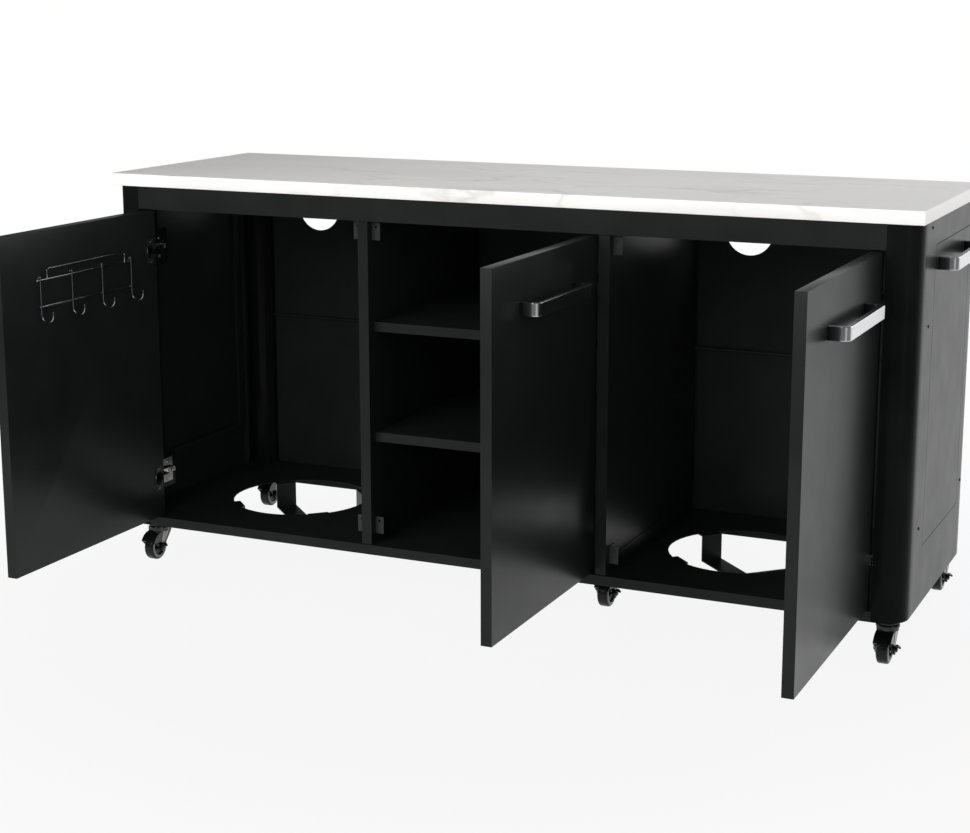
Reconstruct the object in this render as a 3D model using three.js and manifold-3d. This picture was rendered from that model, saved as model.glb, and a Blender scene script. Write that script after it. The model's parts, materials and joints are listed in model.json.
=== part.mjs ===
// Outdoor kitchen island: a sheet-metal cabinet on casters under a stone worktop.
// Three doors, shelves in the middle bay, and a gas bottle well in the floor of each side bay.
// Millimetres, +Z up. Inside the cabinet group X = 0 is the middle of its width,
// Y = 0 is the front plane of the posts (+Y runs to the back) and Z = 0 is the ground.
import * as THREE from "three";
import { mergeVertices } from "three/addons/utils/BufferGeometryUtils.js";
import Module from "manifold-3d";

const wasm = await Module();
wasm.setup();

// Cabinet, worktop and ground
const CABINET_WIDTH = 1860;
const CABINET_DEPTH = 600;
const WORKTOP_HEIGHT = 920;
const WORKTOP_THICKNESS = 28;
const WORKTOP_END_OVERHANG = 6;
const WORKTOP_FRONT_OVERHANG = 1;
const WORKTOP_EDGE_BREAK = 1;
const GROUND_CLEARANCE = 87;

// Sheet work, and the gap that separate pieces keep where they seat on each other
const SHEET = 2;
const SEAT = 0.3;
const RUNNING_FIT = 0.08;
const OVERRUN = 5;
const SCREW_HOLE_RADIUS = 2.6;

// Corner posts
const POST_WIDTH = 66;
const POST_RADIUS = 50;
const POST_LIP = 20;
const JAMB_DEPTH = 30;
const HINGE_TAB_DEPTH = 110;
const HINGE_TAB_HEIGHT = 84;

// Base tray
const BASE_HEIGHT = 22;
const BASE_RETURN = 26;
const WELL_RADIUS = 165;
const LEFT_WELL_FROM_END = 306;
const RIGHT_WELL_FROM_END = 425;
const STIFFENER_FROM_WELL = 21;
const STIFFENER_FOOT = 14;

// Bottle cradle under each well
const CRADLE_STRAP = 50;
const CRADLE_SHEET = 2.5;
const CRADLE_REACH = 148;
const CRADLE_DROP = 61;
const CRADLE_FLANGE = 44;

// Front top rail and back panels
const TOP_RAIL_HEIGHT = 51;
const TOP_RAIL_DEPTH = 36;
const BACK_SEAM_DROP = 387;
const BACK_FOLD = 15;
const BACK_TOP_FOLD = 46;
const BACK_HOLE_RADIUS = 57;
const BACK_HOLE_DROP = 105;
const LEFT_BACK_HOLE_FROM_END = 203;
const RIGHT_BACK_HOLE_FROM_END = 518;

// Dividers and shelves
const LEFT_BAY_WIDTH = 568;
const RIGHT_BAY_WIDTH = 572;
const DIVIDER_THICKNESS = 24;
const DIVIDER_SET_BACK = 4;
const STILE_DEPTH = 60;
const STILE_STEP = 1;
const RAIL_LEG_HEIGHT = 35;
const RAIL_LEG_WIDTH = 12;
const SHELF_THICKNESS = 21;
const SHELF_SET_BACK = 29;
const SHELF_RISE_SHARES = [0.3267, 0.6461];

// Doors
const DOOR_THICKNESS = 23;
const DOOR_HINGE_GAP = 4;
const DOOR_FREE_GAP = 3;
const SIDE_DOOR_FREE_GAP = 7;
const DOOR_END_GAP = 3;
const DOOR_EDGE_BREAK = 0.8;
const DOOR_SHEET = 1.5;

// Concealed hinges. The pin lies inside the door, this far from its hinge edge and outer face
const PIN_FROM_EDGE = 11;
const PIN_FROM_FACE = 7;
const PIN_RADIUS = 1.6;
const CUP_FLOOR_CLEARANCE = 0.3;
const EYE_RADIUS = 3.2;
const CUP_RADIUS = 17.5;
const CUP_WALL = 1.2;
const CUP_FROM_EDGE = 21.7;
const CUP_RIM_HEIGHT = 1.6;
const CUP_RIM_LENGTH = 56;
const CUP_RIM_WIDTH = 22;
const CUP_SCREW_SPACING = 46;
const NECK_THICKNESS = 3.5;
const NECK_WIDTH = 11;
const NECK_CLEARANCE = 0.7;
const ARM_LENGTH = 66;
const ARM_HEIGHT = 11;
const ARM_PLATE_LENGTH = 46;
const ARM_PLATE_HEIGHT = 58;
const ARM_PLATE_THICKNESS = 3;
const HINGE_INSET = 94;

// Bar handles
const HANDLE_LENGTH = 280;
const HANDLE_HEIGHT = 26;
const HANDLE_THICKNESS = 11;
const HANDLE_PROJECTION = 41;
const HANDLE_CORNER = 12;
const DOOR_HANDLE_DROP = 94;

// Door catches on the dividers
const CATCH_WIDTH = 20;
const CATCH_HEIGHT = 39;
const CATCH_DEPTH = 24;
const CATCH_RUNNING_GAP = 1;
const CATCH_HOLE_RADIUS = 3;
const CATCH_LOW_RISE = 42;
const CATCH_TOP_RISE = 24;
const MAGNET_RADIUS = 6;
const MAGNET_PROUD = 0.6;
const MAGNET_RISE = 10;

// Side panels, their access covers and the side handle
const PANEL_FOLD = 14;
const COVER_FRONT = 152;
const COVER_FROM_BACK = 94;
const COVER_RISE = 107;
const COVER_DROP = 55;
const COVER_GAP = 1.5;
const COVER_DEPTH = 12;
const COVER_LEDGE = 12;
const SIDE_HANDLE_FROM_BACK = 282;
const SIDE_HANDLE_DROP = 95;

// Hook rack on the left door
const RACK_WIRE_RADIUS = 1.9;
const RACK_STAND_OFF = 6;
const RACK_WELD_STEP = 1.3;
const RACK_DROP = 81;
const RACK_TOP_STEP = 22;
const RACK_LOW_STEP = 57;
const RACK_LENGTH = 328;
const RACK_TOP_INSET = 24;
const RACK_FROM_HINGE = 111;
const HOOK_COUNT = 4;
const HOOK_RADIUS = 15;
const HOOK_DROP = 88;
const HOOK_TIP_RISE = 21;
const HOOK_HEAD = 7;
const RACK_FOOT_RADIUS = 7;

// Casters
const WHEEL_RADIUS = 31.5;
const WHEEL_WIDTH = 24;
const WHEEL_SHOULDER = 5;
const WHEEL_DISH = 4;
const WHEEL_DISH_RADIUS = 21;
const HUB_RADIUS = 8;
const AXLE_RADIUS = 4;
const AXLE_HEAD = 2.5;
const NUT_STEP = 1.5;
const CASTER_TRAIL = 20;
const LEFT_CASTER_INSET = 67;
const RIGHT_CASTER_INSET = 38;
const CASTER_FRONT_INSET = 36;
const MIDDLE_CASTER_FROM_DIVIDER = 31;
const MIDDLE_CASTER_SET_BACK = 146;
const CASTER_PLATE = 40;
const CASTER_PLATE_THICKNESS = 3;
const RACE_RADIUS = 20;
const RACE_HEIGHT = 5;
const KINGPIN_RADIUS = 5;
const KINGPIN_HEAD_RADIUS = 8;
const KINGPIN_HEAD_HEIGHT = 2;
const FORK_CROWN_RADIUS = 23;
const FORK_CROWN_HEIGHT = 12;
const CROWN_PLATE = 3;
const CHEEK_THICKNESS = 2.5;
const CHEEK_CLEARANCE = 4;
const CHEEK_FOOT_RADIUS = 11;
const HOOD_GAP = 1.6;
const LEVER_THICKNESS = 3;
const LEVER_BOSS_RADIUS = 9;
const LEVER_TONGUE = 14;
const LEVER_PEDAL_REACH = 11;
const LEVER_PEDAL_WIDTH = 15;
const LEVER_PEDAL_THICKNESS = 4;

// Facet counts
const CORNER_STEPS = 8;
const BEND_STEPS = 3;
const HOLE_SIDES = 48;
const DISC_SIDES = 20;
const SMALL_SIDES = 12;
const WHEEL_SIDES = 24;
const WIRE_SIDES = 3;
const HOOK_STEPS = 22;

// Sizes that follow from the ones above
const halfWidth = CABINET_WIDTH / 2;
const bodyTop = WORKTOP_HEIGHT - WORKTOP_THICKNESS - SEAT;
const floorTop = GROUND_CLEARANCE + BASE_HEIGHT;
const railBottom = bodyTop - TOP_RAIL_HEIGHT;
const jambX = halfWidth - POST_WIDTH;
const innerBack = CABINET_DEPTH - SHEET;
const dividerHalf = DIVIDER_THICKNESS / 2;
const rightDividerX = jambX - RIGHT_BAY_WIDTH - dividerHalf;
const leftDividerX = -jambX + LEFT_BAY_WIDTH + dividerHalf;
const doorBottom = floorTop + DOOR_END_GAP;
const doorTop = railBottom - DOOR_END_GAP;
const middleBayWidth = rightDividerX - leftDividerX - DIVIDER_THICKNESS;
const middleBayX = (rightDividerX + leftDividerX) / 2;
const wellY = CABINET_DEPTH / 2;
const leftWellX = -halfWidth + LEFT_WELL_FROM_END;
const rightWellX = halfWidth - RIGHT_WELL_FROM_END;
const stiffenerY = wellY + WELL_RADIUS + STIFFENER_FROM_WELL;
const seamHeight = bodyTop - BACK_SEAM_DROP;
const backHoleHeight = bodyTop - BACK_HOLE_DROP;
const leftBackHoleX = -halfWidth + LEFT_BACK_HOLE_FROM_END;
const rightBackHoleX = halfWidth - RIGHT_BACK_HOLE_FROM_END;
const shelfTops = SHELF_RISE_SHARES.map((share) => floorTop + share * (bodyTop - floorTop));
const hingeHeights = [doorBottom + HINGE_INSET, doorTop - HINGE_INSET];
const handleHeight = doorTop - DOOR_HANDLE_DROP;
const catchHeights = [floorTop + CATCH_LOW_RISE, railBottom - CATCH_TOP_RISE];
const coverRear = CABINET_DEPTH - COVER_FROM_BACK;
const coverBottom = floorTop + COVER_RISE;
const coverTop = bodyTop - COVER_DROP;
const sideHandleY = CABINET_DEPTH - SIDE_HANDLE_FROM_BACK;
const sideHandleHeight = bodyTop - SIDE_HANDLE_DROP;
const rackTop = doorTop - RACK_DROP;
const rackMiddle = rackTop - RACK_TOP_STEP;
const rackLow = rackMiddle - RACK_LOW_STEP;
const hookBottom = rackMiddle - HOOK_DROP;
const hookTip = hookBottom + HOOK_TIP_RISE;
const middleCasterX = rightDividerX - MIDDLE_CASTER_FROM_DIVIDER;

// Finishes
const finish = (name, colour, roughness, metalness) =>
  new THREE.MeshStandardMaterial({ name, color: colour, roughness, metalness });
const POWDER_COAT = finish("black powder-coated steel", 0x2d302f, 0.55, 0.2);
const STONE = finish("honed pale stone", 0xd9d8d6, 0.35, 0);
const STAINLESS = finish("brushed stainless steel", 0xc2c4c6, 0.3, 0.9);
const CHROME = finish("chromed steel", 0xd8dadc, 0.12, 1);
const CAST_ZINC = finish("dark cast zinc", 0x26282a, 0.45, 0.5);
const BLACK_STEEL = finish("black enamelled steel", 0x141516, 0.25, 0.3);
const RUBBER = finish("grey-black polyurethane", 0x1d1e1f, 0.45, 0);
const MOULDED = finish("black moulded nylon", 0x121314, 0.4, 0);

// A closed geometry as a solid that can be joined and cut
function solid(geometry) {
  const plain = geometry.index ? geometry.toNonIndexed() : geometry.clone();
  plain.deleteAttribute("normal");
  plain.deleteAttribute("uv");
  const merged = mergeVertices(plain);
  return new wasm.Manifold(
    new wasm.Mesh({
      numProp: 3,
      vertProperties: merged.attributes.position.array,
      triVerts: new Uint32Array(merged.index.array),
    }),
  );
}

// A faceted bore whose flats clear a pin of this radius by the running fit
const boreFor = (radius, sides) => (radius + RUNNING_FIT) / Math.cos(Math.PI / sides);

const join = (...parts) => parts.reduce((a, b) => a.add(b));
const cut = (body, ...tools) => tools.reduce((a, b) => a.subtract(b), body);

// A rectangular block between two limits on each axis
function block([x0, x1], [y0, y1], [z0, z1]) {
  const box = new THREE.BoxGeometry(x1 - x0, y1 - y0, z1 - z0);
  return solid(box.translate((x0 + x1) / 2, (y0 + y1) / 2, (z0 + z1) / 2));
}

// Maps an extrusion's own x, y and depth onto the cabinet's axes
const TURNS = {
  z: new THREE.Matrix4(),
  y: new THREE.Matrix4().makeBasis(
    new THREE.Vector3(0, 0, 1),
    new THREE.Vector3(1, 0, 0),
    new THREE.Vector3(0, 1, 0),
  ),
  x: new THREE.Matrix4().makeBasis(
    new THREE.Vector3(0, 1, 0),
    new THREE.Vector3(0, 0, 1),
    new THREE.Vector3(1, 0, 0),
  ),
};

// An outline carried along an axis: "z" takes (x, y), "x" takes (y, z), "y" takes (z, x)
function carried(outline, axis, [from, to], curveSegments = CORNER_STEPS) {
  const made = new THREE.ExtrudeGeometry(outline, {
    depth: to - from,
    bevelEnabled: false,
    curveSegments,
  });
  return solid(made.translate(0, 0, from).applyMatrix4(TURNS[axis]));
}

function polygon(points) {
  return new THREE.Shape(points.map(([a, b]) => new THREE.Vector2(a, b)));
}

// A rod or disc along an axis through the point (x, y, z), between two limits on that axis
function rod(axis, [x, y, z], radius, [from, to], sides = SMALL_SIDES) {
  const made = new THREE.CylinderGeometry(radius, radius, to - from, sides);
  made.rotateX(Math.PI / 2).translate(0, 0, (from + to) / 2);
  made.applyMatrix4(TURNS[axis]);
  const place = { x: [0, y, z], y: [x, 0, z], z: [x, y, 0] }[axis];
  return solid(made.translate(...place));
}

// A round wire along a curve
function wire(curve, radius, steps) {
  const section = new THREE.Shape();
  section.absarc(0, 0, radius, 0, 2 * Math.PI);
  const made = new THREE.ExtrudeGeometry(section, {
    steps,
    extrudePath: curve,
    curveSegments: WIRE_SIDES,
  });
  return solid(made);
}

const straight = (a, b) =>
  new THREE.LineCurve3(new THREE.Vector3(...a), new THREE.Vector3(...b));

const centreX = (HANDLE_PROJECTION - WORKTOP_END_OVERHANG) / 2;
const leftDoorWidth = LEFT_BAY_WIDTH - DOOR_HINGE_GAP - SIDE_DOOR_FREE_GAP;
const rightDoorWidth = RIGHT_BAY_WIDTH - DOOR_HINGE_GAP - SIDE_DOOR_FREE_GAP;
const openEdgeY = PIN_FROM_EDGE + PIN_FROM_FACE;
const frontReach = Math.max(leftDoorWidth, rightDoorWidth) - openEdgeY;
const centreY =
  (CABINET_DEPTH + WORKTOP_FRONT_OVERHANG - frontReach) / 2;

// The cabinet group is shifted so that the whole object, doors open, stands centred
const island = new THREE.Group();
const cabinet = new THREE.Group();
cabinet.position.set(-centreX, -centreY, 0);
island.add(cabinet);

// Turns a finished solid into a named mesh in a group
function piece(name, body, material, group = cabinet) {
  const made = body.getMesh();
  const geometry = new THREE.BufferGeometry();
  const stride = made.numProp;
  const count = made.vertProperties.length / stride;
  const positions = new Float32Array(count * 3);
  for (let i = 0; i < count; i++) {
    positions.set(made.vertProperties.subarray(i * stride, i * stride + 3), i * 3);
  }
  geometry.setAttribute("position", new THREE.BufferAttribute(positions, 3));
  geometry.setIndex(new THREE.BufferAttribute(made.triVerts, 1));
  geometry.computeVertexNormals();
  const mesh = new THREE.Mesh(geometry, material);
  mesh.name = name;
  group.add(mesh);
  return mesh;
}

// Mirrors a solid across the middle plane of the cabinet
const mirrored = (body) => body.mirror([1, 0, 0]);

// Worktop: a stone slab with its edges just broken
function worktop() {
  const shape = polygon([
    [-halfWidth - WORKTOP_END_OVERHANG, -WORKTOP_FRONT_OVERHANG],
    [halfWidth + WORKTOP_END_OVERHANG, -WORKTOP_FRONT_OVERHANG],
    [halfWidth + WORKTOP_END_OVERHANG, CABINET_DEPTH + WORKTOP_FRONT_OVERHANG],
    [-halfWidth - WORKTOP_END_OVERHANG, CABINET_DEPTH + WORKTOP_FRONT_OVERHANG],
  ]);
  const made = new THREE.ExtrudeGeometry(shape, {
    depth: WORKTOP_THICKNESS - 2 * WORKTOP_EDGE_BREAK,
    bevelThickness: WORKTOP_EDGE_BREAK,
    bevelSize: WORKTOP_EDGE_BREAK,
    bevelOffset: -WORKTOP_EDGE_BREAK,
    bevelSegments: 2,
  });
  const underside = WORKTOP_HEIGHT - WORKTOP_THICKNESS;
  return solid(made.translate(0, 0, underside + WORKTOP_EDGE_BREAK));
}
piece("worktop", worktop(), STONE);

// A bent sheet: the band of one sheet thickness inside an outer line
function sheetBand(outer, inner) {
  return polygon([...outer, ...inner.reverse()]);
}

function arcPoints(x, y, radius, from, to, steps) {
  return Array.from({ length: steps + 1 }, (_, i) => {
    const angle = from + ((to - from) * i) / steps;
    return [x + radius * Math.cos(angle), y + radius * Math.sin(angle)];
  });
}

// Corner post: a quarter-round shell with a return at the jamb and a lip behind the side panel
function postShell(jambDepth) {
  const cx = halfWidth - POST_RADIUS;
  const arc = (radius) =>
    arcPoints(cx, POST_RADIUS, radius, -Math.PI / 2, 0, CORNER_STEPS);
  const lipX = halfWidth - POST_LIP;
  const outer = [
    [jambX, jambDepth],
    [jambX, 0],
    ...arc(POST_RADIUS),
    [halfWidth, POST_WIDTH],
    [lipX, POST_WIDTH],
  ];
  const inner = [
    [jambX + SHEET, jambDepth],
    [jambX + SHEET, SHEET],
    ...arc(POST_RADIUS - SHEET),
    [halfWidth - SHEET, POST_WIDTH - SHEET],
    [lipX, POST_WIDTH - SHEET],
  ];
  const shell = carried(sheetBand(outer, inner), "z", [GROUND_CLEARANCE, bodyTop]);
  // The returns stop above the base tray, which fills the corner
  const room = block(
    [jambX - OVERRUN, halfWidth - SHEET],
    [SHEET, HINGE_TAB_DEPTH + OVERRUN],
    [GROUND_CLEARANCE - OVERRUN, floorTop + SEAT],
  );
  const curve = new THREE.Shape();
  curve.moveTo(jambX - OVERRUN, SHEET);
  curve.lineTo(cx, SHEET);
  curve.absarc(cx, POST_RADIUS, POST_RADIUS - SHEET, -Math.PI / 2, 0, false);
  curve.lineTo(halfWidth - SHEET, HINGE_TAB_DEPTH + OVERRUN);
  curve.lineTo(jambX - OVERRUN, HINGE_TAB_DEPTH + OVERRUN);
  const hollow = carried(curve, "z", [GROUND_CLEARANCE - OVERRUN, floorTop + SEAT]);
  return cut(shell, room.intersect(hollow));
}

// Turns a front right corner solid into the rear right one
const toRear = (body) =>
  body.mirror([0, 1, 0]).translate([0, CABINET_DEPTH, 0]);

// The front jamb is shallow, with a deeper tab behind each hinge
const jambTabs = hingeHeights.map((height) =>
  block(
    [jambX, jambX + SHEET],
    [SHEET, HINGE_TAB_DEPTH],
    [height - HINGE_TAB_HEIGHT / 2, height + HINGE_TAB_HEIGHT / 2],
  ),
);
const frontPost = join(postShell(JAMB_DEPTH), ...jambTabs);
const rearPost = toRear(postShell(POST_LIP));
piece("front_right_post", frontPost, POWDER_COAT);
piece("front_left_post", mirrored(frontPost), POWDER_COAT);
piece("rear_right_post", rearPost, POWDER_COAT);
piece("rear_left_post", mirrored(rearPost), POWDER_COAT);

// Where the casters' swivel axes stand; every wheel trails to the front
const leftCasterX = -halfWidth + LEFT_CASTER_INSET;
const rightCasterX = halfWidth - RIGHT_CASTER_INSET;
const casterRear = CABINET_DEPTH - CASTER_FRONT_INSET;
const CASTERS = [
  { name: "front_left", x: leftCasterX, y: CASTER_FRONT_INSET },
  { name: "front_middle", x: middleCasterX, y: MIDDLE_CASTER_SET_BACK },
  { name: "front_right", x: rightCasterX, y: CASTER_FRONT_INSET },
  { name: "rear_left", x: leftCasterX, y: casterRear },
  { name: "rear_right", x: rightCasterX, y: casterRear },
];
const plateBottom = GROUND_CLEARANCE - CASTER_PLATE_THICKNESS;
const raceBottom = plateBottom - RACE_HEIGHT;
const crownTop = raceBottom - SEAT;
const crownBottom = crownTop - FORK_CROWN_HEIGHT;
const crownUnder = crownTop - CROWN_PLATE;
const kingpinBottom = crownUnder - SEAT - KINGPIN_HEAD_HEIGHT;

// The tray's outline: inside the corner posts and the side and back panels
function trayOutline(inset) {
  const x = halfWidth - SHEET - SEAT - inset;
  const front = SHEET + SEAT + inset;
  const back = CABINET_DEPTH - SHEET - SEAT - inset;
  const radius = POST_RADIUS - front;
  const shape = new THREE.Shape();
  shape.moveTo(-x + radius, front);
  shape.lineTo(x - radius, front);
  shape.absarc(x - radius, front + radius, radius, -Math.PI / 2, 0, false);
  shape.lineTo(x, back - radius);
  shape.absarc(x - radius, back - radius, radius, 0, Math.PI / 2, false);
  shape.lineTo(-x + radius, back);
  shape.absarc(-x + radius, back - radius, radius, Math.PI / 2, Math.PI, false);
  shape.lineTo(-x, front + radius);
  shape.absarc(-x + radius, front + radius, radius, Math.PI, 1.5 * Math.PI, false);
  return shape;
}

// Base tray: floor sheet with two bottle wells, folded edges, stiffeners and caster plates
function baseTray() {
  const sheet = [floorTop - SHEET, floorTop];
  const frontReachX = jambX - SEAT;
  const front = block(
    [-frontReachX, frontReachX],
    [0, SHEET + SEAT + SHEET],
    [GROUND_CLEARANCE, floorTop],
  );
  const solidTray = carried(trayOutline(0), "z", [GROUND_CLEARANCE, floorTop]);
  const inside = carried(trayOutline(SHEET), "z", [
    GROUND_CLEARANCE - OVERRUN,
    floorTop - SHEET,
  ]);
  const returnsOpen = carried(trayOutline(BASE_RETURN), "z", [
    GROUND_CLEARANCE - OVERRUN,
    floorTop,
  ]);
  const returns = cut(
    carried(trayOutline(0), "z", [GROUND_CLEARANCE, GROUND_CLEARANCE + SHEET]),
    returnsOpen,
  );
  const barX = halfWidth - SHEET - SEAT - SHEET;
  const web = block(
    [-barX, barX],
    [stiffenerY, stiffenerY + SHEET],
    [GROUND_CLEARANCE, floorTop],
  );
  const foot = block(
    [-barX, barX],
    [stiffenerY, stiffenerY + STIFFENER_FOOT],
    [GROUND_CLEARANCE, GROUND_CLEARANCE + SHEET],
  );
  const mounts = CASTERS.map(({ x, y }) => {
    const half = CASTER_PLATE / 2;
    const at = [x, y, 0];
    return join(
      block([x - half, x + half], [y - half, y + half], [plateBottom, GROUND_CLEARANCE + SHEET]),
      rod("z", at, RACE_RADIUS, [raceBottom, plateBottom], DISC_SIDES),
      rod("z", at, KINGPIN_RADIUS, [kingpinBottom, raceBottom]),
      rod("z", at, KINGPIN_HEAD_RADIUS, [kingpinBottom, kingpinBottom + KINGPIN_HEAD_HEIGHT]),
    );
  });
  // The middle caster stands on a channel folded from the front rail, open to the rear
  const channelX = [middleCasterX - CASTER_PLATE / 2, middleCasterX + CASTER_PLATE / 2];
  const channelEnd = MIDDLE_CASTER_SET_BACK + CASTER_PLATE / 2;
  const channel = cut(
    block(channelX, [SHEET + SEAT, channelEnd], [GROUND_CLEARANCE, floorTop]),
    block(
      [channelX[0] + SHEET, channelX[1] - SHEET],
      [SHEET + SEAT + SHEET, channelEnd + OVERRUN],
      [GROUND_CLEARANCE + SHEET, floorTop - SHEET],
    ),
  );
  const wells = [leftWellX, rightWellX].map((x) =>
    rod("z", [x, wellY, 0], WELL_RADIUS, [sheet[0] - OVERRUN, floorTop + OVERRUN], HOLE_SIDES),
  );
  const tray = join(cut(solidTray, inside), front, returns, web, foot, channel, ...mounts);
  return cut(tray, ...wells);
}
piece("base_tray", baseTray(), POWDER_COAT);

// Bottle cradle: two crossed straps, bent up at their ends and flanged under the floor
function cradle(x) {
  const top = floorTop - SHEET - SEAT;
  const bottom = floorTop - CRADLE_DROP;
  const line = [
    [-CRADLE_REACH - CRADLE_FLANGE, top],
    [-CRADLE_REACH, top],
    [-CRADLE_REACH, bottom],
    [CRADLE_REACH, bottom],
    [CRADLE_REACH, top],
    [CRADLE_REACH + CRADLE_FLANGE, top],
  ];
  const under = [
    [-CRADLE_REACH - CRADLE_FLANGE, top - CRADLE_SHEET],
    [-CRADLE_REACH - CRADLE_SHEET, top - CRADLE_SHEET],
    [-CRADLE_REACH - CRADLE_SHEET, bottom - CRADLE_SHEET],
    [CRADLE_REACH + CRADLE_SHEET, bottom - CRADLE_SHEET],
    [CRADLE_REACH + CRADLE_SHEET, top - CRADLE_SHEET],
    [CRADLE_REACH + CRADLE_FLANGE, top - CRADLE_SHEET],
  ];
  const strap = carried(sheetBand(line, under), "x", [-CRADLE_STRAP / 2, CRADLE_STRAP / 2]);
  const slanted = (degrees) =>
    strap.rotate([0, 0, degrees]).translate([x, wellY, 0]);
  return join(slanted(45), slanted(-45));
}
piece("left_bottle_cradle", cradle(leftWellX), POWDER_COAT);
piece("right_bottle_cradle", cradle(rightWellX), POWDER_COAT);

// Front top rail: a channel between the front posts
function frontTopRail() {
  const section = sheetBand(
    [
      [TOP_RAIL_DEPTH, railBottom],
      [0, railBottom],
      [0, bodyTop],
      [TOP_RAIL_DEPTH, bodyTop],
    ],
    [
      [TOP_RAIL_DEPTH, railBottom + SHEET],
      [SHEET, railBottom + SHEET],
      [SHEET, bodyTop - SHEET],
      [TOP_RAIL_DEPTH, bodyTop - SHEET],
    ],
  );
  return carried(section, "x", [-jambX + SEAT, jambX - SEAT]);
}
piece("front_top_rail", frontTopRail(), POWDER_COAT);

// Back panels: folded at the seam between them, the upper one also under the worktop
const backReach = jambX - SEAT;
const backHole = (x) =>
  rod(
    "y",
    [x, 0, backHoleHeight],
    BACK_HOLE_RADIUS,
    [innerBack - OVERRUN, CABINET_DEPTH + OVERRUN],
    HOLE_SIDES,
  );

function upperBack() {
  const bottom = seamHeight + SEAT;
  const section = sheetBand(
    [
      [CABINET_DEPTH - BACK_FOLD, bottom],
      [CABINET_DEPTH, bottom],
      [CABINET_DEPTH, bodyTop],
      [CABINET_DEPTH - BACK_TOP_FOLD, bodyTop],
    ],
    [
      [CABINET_DEPTH - BACK_FOLD, bottom + SHEET],
      [innerBack, bottom + SHEET],
      [innerBack, bodyTop - SHEET],
      [CABINET_DEPTH - BACK_TOP_FOLD, bodyTop - SHEET],
    ],
  );
  const panel = carried(section, "x", [-backReach, backReach]);
  return cut(panel, backHole(leftBackHoleX), backHole(rightBackHoleX));
}

function lowerBack() {
  const top = seamHeight - SEAT;
  const section = polygon([
    [innerBack, GROUND_CLEARANCE],
    [CABINET_DEPTH, GROUND_CLEARANCE],
    [CABINET_DEPTH, top],
    [CABINET_DEPTH - BACK_FOLD, top],
    [CABINET_DEPTH - BACK_FOLD, top - SHEET],
    [innerBack, top - SHEET],
  ]);
  return carried(section, "x", [-backReach, backReach]);
}
piece("upper_back_panel", upperBack(), POWDER_COAT);
piece("lower_back_panel", lowerBack(), POWDER_COAT);

// Dividers: a thicker stile at the front, and angle rails at head and foot on the outer face.
// They are drawn about their own middle, with the outer face to the right
function divider() {
  const foot = floorTop + SEAT;
  const rear = innerBack - BACK_FOLD - SHEET;
  const topRear = CABINET_DEPTH - BACK_TOP_FOLD - SEAT;
  const panelOuter = dividerHalf - STILE_STEP;
  const panelInner = STILE_STEP - dividerHalf;
  const stileEnd = DIVIDER_SET_BACK + STILE_DEPTH;
  const stile = block([-dividerHalf, dividerHalf], [DIVIDER_SET_BACK, stileEnd], [foot, bodyTop]);
  const railNotch = block(
    [-dividerHalf - OVERRUN, dividerHalf + OVERRUN],
    [DIVIDER_SET_BACK - OVERRUN, TOP_RAIL_DEPTH + SEAT],
    [railBottom - SEAT, bodyTop + OVERRUN],
  );
  const panel = carried(
    polygon([
      [stileEnd - SHEET, foot],
      [rear, foot],
      [rear, bodyTop - SHEET - BACK_FOLD],
      [topRear, bodyTop - SHEET - BACK_FOLD],
      [topRear, bodyTop],
      [stileEnd - SHEET, bodyTop],
    ]),
    "x",
    [panelInner, panelOuter],
  );
  const railEnd = rear - STILE_DEPTH;
  const angle = (base, rise) =>
    join(
      block(
        [panelOuter, panelOuter + SHEET],
        [stileEnd, railEnd],
        [Math.min(base, base + rise), Math.max(base, base + rise)],
      ),
      block(
        [panelOuter, panelOuter + RAIL_LEG_WIDTH],
        [stileEnd, railEnd],
        [Math.min(base, base + Math.sign(rise) * SHEET), Math.max(base, base + Math.sign(rise) * SHEET)],
      ),
    );
  // Both are double-skinned, open at the foot
  const hollowX = [panelInner + SHEET, panelOuter - SHEET];
  const hollowFoot = foot - OVERRUN;
  const hollow = join(
    block(hollowX, [DIVIDER_SET_BACK + SHEET, stileEnd], [hollowFoot, railBottom - SEAT - SHEET]),
    block(
      hollowX,
      [TOP_RAIL_DEPTH + SEAT + SHEET, rear - SHEET],
      [hollowFoot, bodyTop - BACK_FOLD - SHEET - SHEET],
    ),
  );
  return join(
    cut(join(cut(stile, railNotch), panel), hollow),
    angle(foot, RAIL_LEG_HEIGHT),
    angle(bodyTop, -RAIL_LEG_HEIGHT),
  );
}
const atRightDivider = (body) => body.translate([rightDividerX, 0, 0]);
const atLeftDivider = (body) => body.translate([leftDividerX, 0, 0]);
piece("right_divider", atRightDivider(divider()), POWDER_COAT);
piece("left_divider", atLeftDivider(mirrored(divider())), POWDER_COAT);

// Shelves: folded pans between the dividers
function shelf(top) {
  const x = middleBayWidth / 2 - SEAT;
  const rear = innerBack - BACK_FOLD - SHEET;
  const pan = block([-x, x], [SHELF_SET_BACK, rear], [top - SHELF_THICKNESS, top]);
  const hollow = block(
    [-x + SHEET, x - SHEET],
    [SHELF_SET_BACK + SHEET, rear - SHEET],
    [top - SHELF_THICKNESS - OVERRUN, top - SHEET],
  );
  return cut(pan, hollow).translate([middleBayX, 0, 0]);
}
shelfTops.forEach((top, i) => {
  piece(["lower_shelf", "upper_shelf"][i], shelf(top), POWDER_COAT);
});

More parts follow.
